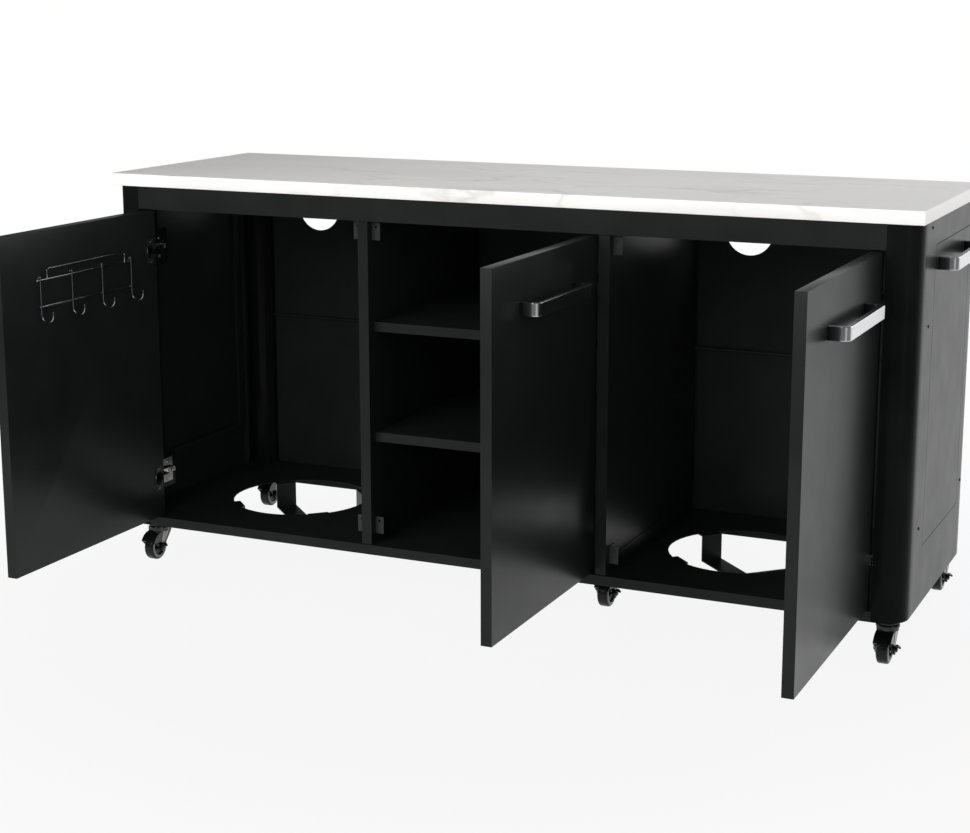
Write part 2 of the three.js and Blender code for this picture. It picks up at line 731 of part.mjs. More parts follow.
// Door catches: an angle bracket on the divider with a magnet in its front leaf
function catchBracket(height) {
  const face = DOOR_THICKNESS + CATCH_RUNNING_GAP;
  const wall = dividerHalf + SEAT;
  const z = [height - CATCH_HEIGHT / 2, height + CATCH_HEIGHT / 2];
  const holeX = wall + CATCH_WIDTH / 2;
  const front = block([wall, wall + CATCH_WIDTH], [face, face + SHEET], z);
  const side = block([wall, wall + SHEET], [face, face + CATCH_DEPTH], z);
  const seat = [holeX, 0, height - MAGNET_RISE];
  const magnet = rod("y", seat, MAGNET_RADIUS, [face - MAGNET_PROUD, face + SHEET + MAGNET_RADIUS]);
  const hole = rod("y", [holeX, 0, height + MAGNET_RISE], CATCH_HOLE_RADIUS, [
    face - OVERRUN,
    face + SHEET + OVERRUN,
  ]);
  return cut(join(front, side, magnet), hole);
}
const CATCH_PLACES = [
  ["left_door", (body) => atLeftDivider(mirrored(body))],
  ["middle_door", (body) => atLeftDivider(body)],
  ["right_door", (body) => atRightDivider(body)],
];
catchHeights.forEach((height, i) => {
  const level = ["lower", "upper"][i];
  CATCH_PLACES.forEach(([door, place]) => {
    piece(`${door}_${level}_catch`, place(catchBracket(height)), CAST_ZINC);
  });
});

// Side panel: a sheet with folded edges and a framed opening for its access cover
function sidePanel() {
  const y = [POST_WIDTH + SEAT, CABINET_DEPTH - POST_WIDTH - SEAT];
  const inner = halfWidth - SHEET;
  const z = [GROUND_CLEARANCE, bodyTop];
  const foldX = halfWidth - PANEL_FOLD;
  const sheet = block([inner, halfWidth], y, z);
  const foldBottom = floorTop + SEAT;
  const frontFold = block([foldX, halfWidth], [y[0], y[0] + SHEET], [foldBottom, bodyTop]);
  const rearFold = block([foldX, halfWidth], [y[1] - SHEET, y[1]], [foldBottom, bodyTop]);
  const topFold = block([foldX, halfWidth], y, [bodyTop - SHEET, bodyTop]);
  const opening = (grow) => [
    [COVER_FRONT - grow, coverRear + grow],
    [coverBottom - grow, coverTop + grow],
  ];
  const [gapY, gapZ] = opening(COVER_GAP);
  const [wallY, wallZ] = opening(COVER_GAP + SHEET);
  const [ledgeY, ledgeZ] = opening(-COVER_LEDGE);
  const ledgeOuter = halfWidth - COVER_DEPTH - SEAT;
  const ledgeInner = ledgeOuter - SHEET;
  const frame = cut(
    block([ledgeInner, halfWidth], wallY, wallZ),
    block([ledgeOuter, halfWidth + OVERRUN], gapY, gapZ),
    block([ledgeInner - OVERRUN, halfWidth], ledgeY, ledgeZ),
  );
  const holeThrough = block([ledgeOuter, halfWidth + OVERRUN], gapY, gapZ);
  return join(cut(join(sheet, frontFold, rearFold, topFold), holeThrough), frame);
}

// Access cover: a shallow pan that sits flush in the opening
function sideCover(withHandle) {
  const inner = halfWidth - COVER_DEPTH;
  const pan = block([inner, halfWidth], [COVER_FRONT, coverRear], [coverBottom, coverTop]);
  const hollow = block(
    [inner - OVERRUN, halfWidth - SHEET],
    [COVER_FRONT + SHEET, coverRear - SHEET],
    [coverBottom + SHEET, coverTop - SHEET],
  );
  const cover = cut(pan, hollow);
  if (!withHandle) return cover;
  const offset = HANDLE_LENGTH / 2 - HANDLE_CORNER;
  const holes = [-offset, offset].map((d) =>
    rod("x", [0, sideHandleY + d, sideHandleHeight], SCREW_HOLE_RADIUS, [
      halfWidth - SHEET - OVERRUN,
      halfWidth + OVERRUN,
    ]),
  );
  return cut(cover, ...holes);
}
const rightPanel = sidePanel();
piece("right_side_panel", rightPanel, POWDER_COAT);
piece("left_side_panel", mirrored(rightPanel), POWDER_COAT);
piece("right_side_cover", sideCover(true), POWDER_COAT);
piece("left_side_cover", mirrored(sideCover(false)), POWDER_COAT);

// Bar handle: a flat bar bent back at both ends, drawn from a face at x = 0 along y, centred at z = 0
function barHandle() {
  const half = HANDLE_LENGTH / 2;
  const out = HANDLE_PROJECTION - SEAT;
  const innerCorner = Math.max(HANDLE_CORNER - HANDLE_THICKNESS, HANDLE_CORNER / 4);
  const bent = (reach, length, corner) => [
    [0, -length],
    ...arcPoints(reach - corner, -length + corner, corner, -Math.PI / 2, 0, BEND_STEPS),
    ...arcPoints(reach - corner, length - corner, corner, 0, Math.PI / 2, BEND_STEPS),
    [0, length],
  ];
  const outline = sheetBand(
    bent(out, half, HANDLE_CORNER),
    bent(out - HANDLE_THICKNESS, half - HANDLE_THICKNESS, innerCorner),
  );
  return carried(outline, "z", [-HANDLE_HEIGHT / 2, HANDLE_HEIGHT / 2]).translate([SEAT, 0, 0]);
}
piece(
  "side_handle",
  barHandle().translate([halfWidth, sideHandleY, sideHandleHeight]),
  STAINLESS,
);

// A door is drawn open, in its own group: the hinge pin is the group's origin,
// +X is the side of its outer face, and the leaf runs to the front along -Y.
const outerFace = PIN_FROM_FACE;
const innerFace = PIN_FROM_FACE - DOOR_THICKNESS;
const hingeEdge = PIN_FROM_EDGE;
const cupCentre = hingeEdge - CUP_FROM_EDGE;
const cupFloor = outerFace - (PIN_FROM_FACE - EYE_RADIUS - CUP_FLOOR_CLEARANCE);
const pocketFloor = cupFloor + CUP_WALL + SEAT;

function doorLeaf(width) {
  const shape = polygon([
    [innerFace + DOOR_EDGE_BREAK, hingeEdge - width + DOOR_EDGE_BREAK],
    [outerFace - DOOR_EDGE_BREAK, hingeEdge - width + DOOR_EDGE_BREAK],
    [outerFace - DOOR_EDGE_BREAK, hingeEdge - DOOR_EDGE_BREAK],
    [innerFace + DOOR_EDGE_BREAK, hingeEdge - DOOR_EDGE_BREAK],
  ]);
  const made = new THREE.ExtrudeGeometry(shape, {
    depth: doorTop - doorBottom - 2 * DOOR_EDGE_BREAK,
    bevelThickness: DOOR_EDGE_BREAK,
    bevelSize: DOOR_EDGE_BREAK,
    bevelSegments: 2,
  });
  const pockets = hingeHeights.map((height) =>
    rod(
      "x",
      [0, cupCentre, height],
      CUP_RADIUS + SEAT,
      [innerFace - OVERRUN, pocketFloor],
      DISC_SIDES,
    ),
  );
  // The leaf is a folded shell, open where the hinge cups are let in
  const hollow = block(
    [innerFace + DOOR_SHEET, outerFace - DOOR_SHEET],
    [hingeEdge - width + DOOR_SHEET, hingeEdge - DOOR_SHEET],
    [doorBottom + DOOR_SHEET, doorTop - DOOR_SHEET],
  );
  return cut(solid(made.translate(0, 0, doorBottom + DOOR_EDGE_BREAK)), hollow, ...pockets);
}

// Hinge cup: an open cup let into the door, a rim plate on the inner face and the pin across it
function hingeCup(height) {
  const at = [0, cupCentre, height];
  const rim = [innerFace - SEAT - CUP_RIM_HEIGHT, innerFace - SEAT];
  const plate = carried(
    polygon([
      [cupCentre - CUP_RIM_WIDTH / 2, height - CUP_RIM_LENGTH / 2],
      [cupCentre + CUP_RIM_WIDTH / 2, height - CUP_RIM_LENGTH / 2],
      [cupCentre + CUP_RIM_WIDTH / 2, height + CUP_RIM_LENGTH / 2],
      [cupCentre - CUP_RIM_WIDTH / 2, height + CUP_RIM_LENGTH / 2],
    ]),
    "x",
    rim,
  );
  const ring = rod("x", at, CUP_RADIUS + CUP_RIM_HEIGHT, rim, DISC_SIDES);
  const outer = rod("x", at, CUP_RADIUS, [rim[0], cupFloor + CUP_WALL], DISC_SIDES);
  const inner = rod("x", at, CUP_RADIUS - CUP_WALL, [rim[0] - OVERRUN, cupFloor], DISC_SIDES);
  const screws = [-1, 1].map((side) =>
    rod("x", [0, cupCentre, height + (side * CUP_SCREW_SPACING) / 2], SCREW_HOLE_RADIUS, [
      rim[0] - OVERRUN,
      rim[1] + OVERRUN,
    ]),
  );
  const pinReach = CUP_RADIUS - CUP_WALL / 2;
  const pinHalf = Math.sqrt(pinReach ** 2 - (PIN_RADIUS - cupCentre) ** 2);
  const pin = rod("z", [0, 0, 0], PIN_RADIUS, [height - pinHalf, height + pinHalf]);
  return join(cut(join(plate, ring, outer), inner, ...screws), pin);
}

// Hinge arm: fixed to the jamb, its neck reaches round the door's edge to the eye on the pin
function hingeArm(height) {
  const jamb = DOOR_HINGE_GAP + PIN_FROM_EDGE - SEAT;
  const cornerSweep = Math.hypot(PIN_FROM_EDGE, DOOR_THICKNESS - PIN_FROM_FACE);
  const neckNear = cornerSweep + NECK_CLEARANCE;
  const neckFar = neckNear + NECK_THICKNESS;
  const half = NECK_THICKNESS / 2;
  const start = neckNear + SHEET;
  const neck = carried(
    polygon([
      [0, -half],
      [-neckFar, -half],
      [-neckFar, start + NECK_THICKNESS],
      [jamb - ARM_HEIGHT, start + NECK_THICKNESS + ARM_HEIGHT],
      [jamb - ARM_PLATE_THICKNESS, start + NECK_THICKNESS + ARM_HEIGHT],
      [jamb - ARM_PLATE_THICKNESS, start],
      [-neckNear, start],
      [-neckNear, half],
      [0, half],
    ]),
    "z",
    [height - NECK_WIDTH / 2, height + NECK_WIDTH / 2],
  );
  const eye = rod("z", [0, 0, 0], EYE_RADIUS, [height - NECK_WIDTH / 2, height + NECK_WIDTH / 2]);
  const bore = rod("z", [0, 0, 0], boreFor(PIN_RADIUS, SMALL_SIDES), [
    height - NECK_WIDTH,
    height + NECK_WIDTH,
  ]);
  const armEnd = start + ARM_LENGTH;
  const body = block(
    [jamb - ARM_HEIGHT, jamb],
    [start + NECK_THICKNESS, armEnd],
    [height - NECK_WIDTH / 2, height + NECK_WIDTH / 2],
  );
  const plateStart = armEnd - ARM_PLATE_LENGTH;
  const plate = block(
    [jamb - ARM_PLATE_THICKNESS, jamb],
    [plateStart, armEnd],
    [height - ARM_PLATE_HEIGHT / 2, height + ARM_PLATE_HEIGHT / 2],
  );
  return cut(join(neck, eye, body, plate), bore);
}

// Hook rack, drawn on the door's inner face: three welded wires and four hooks
function hookRack() {
  const x = innerFace - SEAT - RACK_STAND_OFF;
  const from = hingeEdge - RACK_FROM_HINGE;
  const to = from - RACK_LENGTH;
  const run = (y0, y1, z) => wire(straight([x, y0, z], [x, y1, z]), RACK_WIRE_RADIUS, 1);
  // The hooks and uprights are welded on in front of the long wires
  const front = x - RACK_WELD_STEP;
  const upright = (y, z0, z1) =>
    wire(straight([front, y, z0], [front, y, z1]), RACK_WIRE_RADIUS, 1);
  const over = RACK_WIRE_RADIUS;
  const topFrom = from - RACK_TOP_INSET;
  const topTo = to + RACK_TOP_INSET;
  const parts = [
    run(topFrom + over, topTo - over, rackTop),
    run(from + over, to - over, rackMiddle),
    run(from + over, to - over, rackLow),
    upright(topFrom, rackMiddle - over, rackTop + over),
    upright(topTo, rackMiddle - over, rackTop + over),
  ];
  for (let i = 0; i < HOOK_COUNT; i++) {
    const y = from + ((to - from) * i) / (HOOK_COUNT - 1);
    const turn = hookBottom + HOOK_RADIUS;
    const line = new THREE.CatmullRomCurve3(
      [
        [front, rackMiddle + HOOK_HEAD],
        [front, rackLow],
        ...arcPoints(front - HOOK_RADIUS, turn, HOOK_RADIUS, 0, -Math.PI, BEND_STEPS * 2),
        [front - 2 * HOOK_RADIUS, hookTip],
      ].map(([a, b]) => new THREE.Vector3(a, y, b)),
    );
    parts.push(wire(line, RACK_WIRE_RADIUS, HOOK_STEPS));
  }
  // Screw feet between the outer hooks' heads and the door
  for (const y of [from, to]) {
    const at = [0, y, rackMiddle];
    parts.push(rod("x", at, RACK_FOOT_RADIUS, [innerFace - SEAT - SHEET, innerFace - SEAT]));
    parts.push(rod("x", at, RACK_WIRE_RADIUS, [x, innerFace - SEAT]));
  }
  return join(...parts);
}

// A door with its cups and handle, in a group at its pin; the arms stay with the cabinet.
// side is 1 for a door hinged on its right, -1 for one hinged on its left.
function hangDoor(name, jamb, side, width) {
  const pinX = jamb - side * (DOOR_HINGE_GAP + PIN_FROM_EDGE);
  const set = side > 0 ? (body) => body : (body) => body.mirror([1, 0, 0]);
  const group = new THREE.Group();
  group.position.set(pinX, PIN_FROM_FACE, 0);
  cabinet.add(group);
  const handle = barHandle().translate([
    outerFace,
    hingeEdge - width / 2,
    handleHeight,
  ]);
  piece(`${name}_door`, set(doorLeaf(width)), POWDER_COAT, group);
  piece(`${name}_door_handle`, set(handle), STAINLESS, group);
  hingeHeights.forEach((height, i) => {
    const level = ["lower", "upper"][i];
    piece(`${name}_door_${level}_hinge_cup`, set(hingeCup(height)), CAST_ZINC, group);
    piece(`${name}_door_${level}_hinge_arm`, set(hingeArm(height)), CHROME, group);
  });
  return { group, set };
}
const middleDoorWidth = middleBayWidth - DOOR_HINGE_GAP - DOOR_FREE_GAP;
const leftDoor = hangDoor("left", -jambX, -1, leftDoorWidth);
hangDoor("middle", rightDividerX - dividerHalf, 1, middleDoorWidth);
hangDoor("right", jambX, 1, rightDoorWidth);
piece("hook_rack", leftDoor.set(hookRack()), CHROME, leftDoor.group);

// Caster parts are drawn with the swivel axis at the origin and the wheel trailing along -Y
const axleHeight = WHEEL_RADIUS;
const cheekInner = WHEEL_WIDTH / 2 + CHEEK_CLEARANCE;
const cheekOuter = cheekInner + CHEEK_THICKNESS;

function casterWheel() {
  const half = WHEEL_WIDTH / 2;
  const bore = boreFor(AXLE_RADIUS, WHEEL_SIDES);
  const shoulder = arcPoints(
    WHEEL_RADIUS - WHEEL_SHOULDER,
    half - WHEEL_SHOULDER,
    WHEEL_SHOULDER,
    0,
    Math.PI / 2,
    BEND_STEPS,
  );
  const upper = [
    ...shoulder,
    [WHEEL_DISH_RADIUS, half],
    [WHEEL_DISH_RADIUS - WHEEL_DISH / 2, half - WHEEL_DISH],
    [HUB_RADIUS, half - WHEEL_DISH],
    [HUB_RADIUS, half],
    [bore, half],
  ];
  const lower = upper.map(([r, y]) => [r, -y]).reverse();
  const profile = [...lower, ...upper, lower[0]].map(([r, y]) => new THREE.Vector2(r, y));
  const made = new THREE.LatheGeometry(profile, WHEEL_SIDES);
  return solid(made.rotateZ(-Math.PI / 2).translate(0, -CASTER_TRAIL, axleHeight));
}

function casterFork() {
  const centre = [0, -CASTER_TRAIL, axleHeight];
  const hoodInner = WHEEL_RADIUS + HOOD_GAP;
  const hoodOuter = hoodInner + CHEEK_THICKNESS;
  const crown = rod("z", [0, 0, 0], FORK_CROWN_RADIUS, [crownBottom, crownTop], DISC_SIDES);
  const hoodWide = [-cheekOuter, cheekOuter];
  // Side view of the fork: from the crown's edges down to a round foot on the axle
  const outline = new THREE.Shape();
  outline.moveTo(FORK_CROWN_RADIUS - SHEET, crownTop);
  outline.lineTo(FORK_CROWN_RADIUS - SHEET, crownBottom - CHEEK_THICKNESS);
  outline.lineTo(-CASTER_TRAIL + CHEEK_FOOT_RADIUS, axleHeight);
  outline.absarc(-CASTER_TRAIL, axleHeight, CHEEK_FOOT_RADIUS, 0, Math.PI, true);
  outline.lineTo(-CASTER_TRAIL - hoodOuter * Math.cos(Math.PI / 6), axleHeight + hoodOuter / 2);
  outline.absarc(
    -CASTER_TRAIL,
    axleHeight,
    hoodOuter,
    Math.PI - Math.PI / 6,
    Math.PI / 2,
    true,
  );
  outline.lineTo(-CASTER_TRAIL, crownTop);
  const body = carried(outline, "x", hoodWide);
  const wheelRoom = rod("x", centre, hoodInner, [-cheekInner, cheekInner], WHEEL_SIDES);
  const belowCrown = block(
    [-cheekInner, cheekInner],
    [-CASTER_TRAIL, FORK_CROWN_RADIUS + OVERRUN],
    [0, crownBottom],
  );
  const pinHole = rod("z", [0, 0, 0], boreFor(KINGPIN_RADIUS, SMALL_SIDES), [
    crownUnder - OVERRUN,
    crownTop + OVERRUN,
  ]);
  const cupRoom = rod(
    "z",
    [0, 0, 0],
    FORK_CROWN_RADIUS - CROWN_PLATE - CHEEK_THICKNESS,
    [0, crownUnder],
    DISC_SIDES,
  );
  const topLimit = block(
    [-FORK_CROWN_RADIUS - OVERRUN, FORK_CROWN_RADIUS + OVERRUN],
    [-CASTER_TRAIL - hoodOuter - OVERRUN, FORK_CROWN_RADIUS + OVERRUN],
    [0, crownTop],
  );
  const axle = rod("x", centre, AXLE_RADIUS, [-cheekOuter - AXLE_HEAD, leverOuter + SEAT + AXLE_HEAD]);
  const head = rod("x", centre, AXLE_RADIUS + AXLE_HEAD, [-cheekOuter - AXLE_HEAD, -cheekOuter]);
  const nutStart = leverOuter + SEAT;
  const nut = rod("x", centre, AXLE_RADIUS + NUT_STEP, [nutStart, nutStart + AXLE_HEAD]);
  const shell = cut(join(crown, body.intersect(topLimit)), wheelRoom, belowCrown, pinHole, cupRoom);
  return join(shell, axle, head, nut);
}

// Brake lever: turns on the axle's end, with a tongue that grips and a pedal to tread on
const leverInner = cheekOuter + SEAT;
const leverOuter = leverInner + LEVER_THICKNESS;

function brakeLever() {
  const centre = [0, -CASTER_TRAIL, axleHeight];
  const outline = new THREE.Shape();
  const lean = Math.PI / 9;
  outline.absarc(-CASTER_TRAIL, axleHeight, LEVER_BOSS_RADIUS, Math.PI + lean, -lean, true);
  outline.lineTo(-CASTER_TRAIL, axleHeight - LEVER_TONGUE);
  const plate = carried(outline, "x", [leverInner, leverOuter]);
  const pedal = carried(
    polygon([
      [leverInner, axleHeight + LEVER_BOSS_RADIUS - LEVER_PEDAL_THICKNESS],
      [leverOuter + LEVER_PEDAL_REACH, axleHeight - LEVER_PEDAL_THICKNESS / 2],
      [leverOuter + LEVER_PEDAL_REACH, axleHeight + LEVER_PEDAL_THICKNESS / 2],
      [leverOuter, axleHeight + LEVER_BOSS_RADIUS],
      [leverInner, axleHeight + LEVER_BOSS_RADIUS],
    ].map(([x, z]) => [z, x])),
    "y",
    [-CASTER_TRAIL - LEVER_PEDAL_WIDTH / 2, -CASTER_TRAIL + LEVER_PEDAL_WIDTH / 2],
  );
  const bore = rod("x", centre, boreFor(AXLE_RADIUS, SMALL_SIDES), [
    leverInner - OVERRUN,
    leverOuter + LEVER_PEDAL_REACH + OVERRUN,
  ]);
  const nutRoom = rod("x", centre, AXLE_RADIUS + AXLE_HEAD, [
    leverOuter + SEAT,
    leverOuter + LEVER_PEDAL_REACH + OVERRUN,
  ]);
  return cut(join(plate, pedal), bore, nutRoom);
}

for (const { name, x, y } of CASTERS) {
  const group = new THREE.Group();
  group.position.set(x, y, 0);
  cabinet.add(group);
  piece(`${name}_caster_fork`, casterFork(), BLACK_STEEL, group);
  piece(`${name}_caster_wheel`, casterWheel(), RUBBER, group);
  piece(`${name}_caster_brake_lever`, brakeLever(), MOULDED, group);
}

export default island;
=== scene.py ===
# %% [markdown]
# # Outdoor kitchen island
#
# A sheet-metal cabinet on braked casters under a pale stone worktop, with three open doors.
# This lesson dresses its solid model: every solid gets the finish of the real piece, and the
# pieces whose curves catch the light are drawn again as smooth surfaces.

import math

import bpy
import numpy as np
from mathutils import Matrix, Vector
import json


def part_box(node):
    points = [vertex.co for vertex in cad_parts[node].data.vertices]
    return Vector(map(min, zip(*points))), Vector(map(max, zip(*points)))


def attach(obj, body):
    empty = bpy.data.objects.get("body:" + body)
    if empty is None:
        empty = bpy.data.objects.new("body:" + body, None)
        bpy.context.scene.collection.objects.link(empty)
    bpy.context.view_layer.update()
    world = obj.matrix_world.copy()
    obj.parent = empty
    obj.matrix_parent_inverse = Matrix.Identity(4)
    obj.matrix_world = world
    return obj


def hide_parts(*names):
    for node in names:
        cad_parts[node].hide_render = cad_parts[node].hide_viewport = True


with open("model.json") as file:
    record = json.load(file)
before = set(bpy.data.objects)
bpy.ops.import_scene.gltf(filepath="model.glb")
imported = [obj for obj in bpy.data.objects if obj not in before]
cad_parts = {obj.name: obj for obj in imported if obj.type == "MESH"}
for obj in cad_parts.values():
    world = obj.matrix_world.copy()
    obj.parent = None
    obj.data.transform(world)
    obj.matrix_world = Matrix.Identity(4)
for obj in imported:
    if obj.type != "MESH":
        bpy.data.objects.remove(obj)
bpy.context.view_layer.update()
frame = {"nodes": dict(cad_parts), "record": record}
nodes = frame["nodes"]

# %% [markdown]
# Sizes are easier to read from the middle of the cabinet than from the middle of the whole
# object with its doors open. The worktop is symmetrical on the cabinet and reaches 1 mm past
# its front, so its box gives the place of the cabinet's own zero point.

# %% The cabinet's zero point
top_low, top_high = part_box("worktop")
FRONT_OVERHANG = 0.001
HALF_WIDTH, DEPTH = 930, 600
ZERO = np.array([(top_low.x + top_high.x) / 2, top_low.y + FRONT_OVERHANG, 0.0])
print("cabinet zero at", ZERO.round(4))


def at(x, y, z):
    """Metres from millimetres in the cabinet's own frame: zero point + (x, y, z) / 1000."""
    return ZERO + np.array([x, y, z]) / 1000


# %% [markdown]
# The photograph was taken from the right, at about head height, with a fairly long lens. The
# camera's place and direction were solved from the corners of the cabinet, so they are
# written here as numbers, and the small shift stands for the photograph's crop.

# %% The camera
YAW, PITCH = math.radians(24.3225), math.radians(-12.0001)
FOCAL_PX, WIDE_PX, HIGH_PX = 1903.76, 970, 833
CENTRE_PX = (493.12, 392.18)
CAMERA_MM = (1676.92, -3642.95, 1337.74)

lens = bpy.data.cameras.new("camera")
lens.sensor_width = 36
lens.lens = FOCAL_PX / WIDE_PX * lens.sensor_width
lens.shift_x = -(CENTRE_PX[0] - WIDE_PX / 2) / WIDE_PX
lens.shift_y = (CENTRE_PX[1] - HIGH_PX / 2) / WIDE_PX
lens.clip_end = 100
camera = bpy.data.objects.new("camera", lens)
camera.location = at(*CAMERA_MM)
camera.rotation_euler = (math.pi / 2 + PITCH, 0, YAW)
bpy.context.scene.collection.objects.link(camera)
bpy.context.scene.camera = camera
print("lens", round(lens.lens, 2), "mm")

# %% [markdown]
# Finishes and surroundings are both made of nodes. Two helpers are enough for them all: one
# turns a hex colour, as a painter would read it off a chart, into the linear light that the
# renderer adds up, and one adds a node with its settings, values and links.

# %% Helpers for colours and nodes


def linear(hex_colour):
    """sRGB hex to linear: c / 12.92 below 0.04045, else ((c + 0.055) / 1.055) to the power 2.4."""
    parts = np.array([int(hex_colour[i : i + 2], 16) for i in (1, 3, 5)]) / 255
    low, high = parts / 12.92, ((parts + 0.055) / 1.055) ** 2.4
    return (*np.where(parts <= 0.04045, low, high), 1.0)


def add(tree, kind, links=(), values=None, stops=(), **settings):
    """One node, from its settings, input values, (input, source, output) links and, for a colour
    ramp, (position, hex) stops."""
    node = tree.nodes.new(kind)
    for key, value in settings.items():
        setattr(node, key, value)
    for socket, value in (values or {}).items():
        node.inputs[socket].default_value = value
    for socket, source, output in links:
        tree.links.new(source.outputs[output], node.inputs[socket])
    for number, (position, colour) in enumerate(stops):
        if number >= len(node.color_ramp.elements):
            node.color_ramp.elements.new(1.0)
        node.color_ramp.elements[number].position = position
        node.color_ramp.elements[number].color = linear(colour)
    return node


print("mid grey is", round(linear("#808080")[0], 3), "of white")

# %% [markdown]
# A product studio is a white room. Its light comes mostly from the sides, so the upright
# faces are lit and the ceiling is dimmer. The world does this with a value that falls from
# the horizon to the zenith, and two soft panels add a little direction to it. Shiny surfaces
# see the room as it is: dark behind the photographer, with one bright strip, and white
# behind the object.

# %% Lights and surroundings
scene = bpy.context.scene
scene.view_settings.view_transform = "Standard"


def soft_panel(name, place, target, size, watts):
    """A rectangular lamp at place that faces target: its -Z axis follows target minus place."""
    lamp = bpy.data.lights.new(name, "AREA")
    lamp.shape = "RECTANGLE"
    lamp.size, lamp.size_y = size
    lamp.energy = watts
    obj = bpy.data.objects.new(name, lamp)
    obj.location = place
    obj.rotation_euler = Vector(target - place).to_track_quat("-Z", "Y").to_euler()
    scene.collection.objects.link(obj)


soft_panel("front_panel", at(-900, -4200, 2600), at(0, 0, 700), (3.0, 2.0), 78)
soft_panel("rear_panel", at(2600, 3000, 2400), at(500, 300, 900), (2.5, 2.0), 45)

world = bpy.data.worlds.new("white_studio")
world.use_nodes = True
scene.world = world
tree = world.node_tree
aim = add(tree, "ShaderNodeTexCoord")
axes = add(tree, "ShaderNodeSeparateXYZ", [("Vector", aim, "Generated")])
height = {"From Min": 0.0, "From Max": 0.8, "To Min": 1.5, "To Max": 0.3}
level = add(tree, "ShaderNodeMapRange", [("Value", axes, "Z")], height)
depth = {"From Min": -0.9, "From Max": 0.2, "To Min": 1.3, "To Max": 0.55}
ahead = add(tree, "ShaderNodeMapRange", [("Value", axes, "Y")], depth)
light_links = [(0, level, "Result"), (1, ahead, "Result")]
light = add(tree, "ShaderNodeMath", light_links, operation="MULTIPLY")
glow = add(tree, "ShaderNodeBackground", [("Strength", light, "Value")], {"Color": (1, 1, 1, 1)})

STRIPS = [
    (0.0, "#595959"),
    (0.1, "#616161"),
    (0.17, "#cccccc"),
    (0.22, "#cccccc"),
    (0.28, "#7c7c7c"),
    (0.66, "#7c7c7c"),
    (0.8, "#ffffff"),
    (1.0, "#ffffff"),
]
whole = {"From Min": -1.0, "From Max": 1.0}
room = add(tree, "ShaderNodeMapRange", [("Value", axes, "Y")], whole)
strips = add(tree, "ShaderNodeValToRGB", [("Fac", room, "Result")], stops=STRIPS)
across = {"From Min": -0.6, "From Max": -0.41, "To Min": 0.1, "To Max": 1.0}
left_dim = add(tree, "ShaderNodeMapRange", [("Value", axes, "X")], across)
upward = {"From Min": 0.32, "From Max": 0.5, "To Min": 1.0, "To Max": 0.25}
up_dim = add(tree, "ShaderNodeMapRange", [("Value", axes, "Z")], upward)
dim_links = [(0, left_dim, "Result"), (1, up_dim, "Result")]
dim = add(tree, "ShaderNodeMath", dim_links, operation="MULTIPLY")
walls = add(tree, "ShaderNodeBackground", [("Color", strips, "Color"), ("Strength", dim, "Value")])

white = add(tree, "ShaderNodeBackground", values={"Color": (1, 1, 1, 1)})
path = add(tree, "ShaderNodeLightPath")
shiny_links = [(0, path, "Is Glossy Ray"), (1, glow, "Background"), (2, walls, "Background")]
shiny = add(tree, "ShaderNodeMixShader", shiny_links)
clear_links = [(0, path, "Is Camera Ray"), (1, path, "Is Transmission Ray")]
clear = add(tree, "ShaderNodeMath", clear_links, operation="MAXIMUM")
choose_links = [(0, clear, "Value"), (1, shiny, "Shader"), (2, white, "Background")]
choose = add(tree, "ShaderNodeMixShader", choose_links)
tree.links.new(choose.outputs["Shader"], tree.nodes["World Output"].inputs["Surface"])
print(len(bpy.data.lights), "lamps, side light", height["To Min"], "ceiling", height["To Max"])

# %% [markdown]
# Finishes. Each one starts as a plain shader with the colour, gloss and metal of the real
# material. Patterns are then measured in millimetres, so their grain is the real size.

# %% A helper that starts a finish


def start(name, colour, roughness, metallic=0.0, ior=None):
    """A material with its uniform values set on the shader's own sockets."""
    made = bpy.data.materials.new(name)
    made.use_nodes = True
    shader = made.node_tree.nodes["Principled BSDF"]
    shader.inputs["Base Color"].default_value = linear(colour)
    shader.inputs["Roughness"].default_value = roughness
    shader.inputs["Metallic"].default_value = metallic
    if ior:
        shader.inputs["IOR"].default_value = ior
    return made, made.node_tree, shader


def grains(x, y, z):
    """Scale of a pattern whose grain is (x, y, z) millimetres: 1000 / size grains in a metre."""
    return {"Scale": (1000 / x, 1000 / y, 1000 / z)}


def span(low, high, start=0.3, end=0.7):
    """Values of a range that carries start..end to low..high."""
    return {"From Min": start, "From Max": end, "To Min": low, "To Max": high}


print("a 2 mm grain repeats", grains(2, 2, 2)["Scale"][0], "times in a metre")

# %% [markdown]
# Powder coat is polyester powder that is sprayed dry and baked. It leaves a satin skin with a
# faint orange peel a few millimetres across, and its colour varies a little where the skin is
# thicker. The peel is drawn from noise rather than modelled, because it is microns high.

# %% Polyester powder coat on the panels: soft sheen, colour that drifts over a hand's width
powder_coat, tree, shader = start("polyester_powder_coat_on_steel", "#1f2221", 0.3, ior=1.22)
place = add(tree, "ShaderNodeTexCoord")
wide = add(tree, "ShaderNodeMapping", [("Vector", place, "Object")], grains(90, 90, 90))
mottle = add(tree, "ShaderNodeTexNoise", [("Vector", wide, "Vector")], {"Scale": 1.0, "Detail": 3.0})
shades = [(0.3, "#1d201f"), (0.7, "#212423")]
tone = add(tree, "ShaderNodeValToRGB", [("Fac", mottle, "Fac")], stops=shades)
tree.links.new(tone.outputs["Color"], shader.inputs["Base Color"])
gloss = add(tree, "ShaderNodeMapRange", [("Value", mottle, "Fac")], span(0.285, 0.335))
tree.links.new(gloss.outputs["Result"], shader.inputs["Roughness"])
fine = add(tree, "ShaderNodeMapping", [("Vector", place, "Object")], grains(2.2, 2.2, 2.2))
peel = add(tree, "ShaderNodeTexNoise", [("Vector", fine, "Vector")], {"Scale": 1.0, "Detail": 1.0})
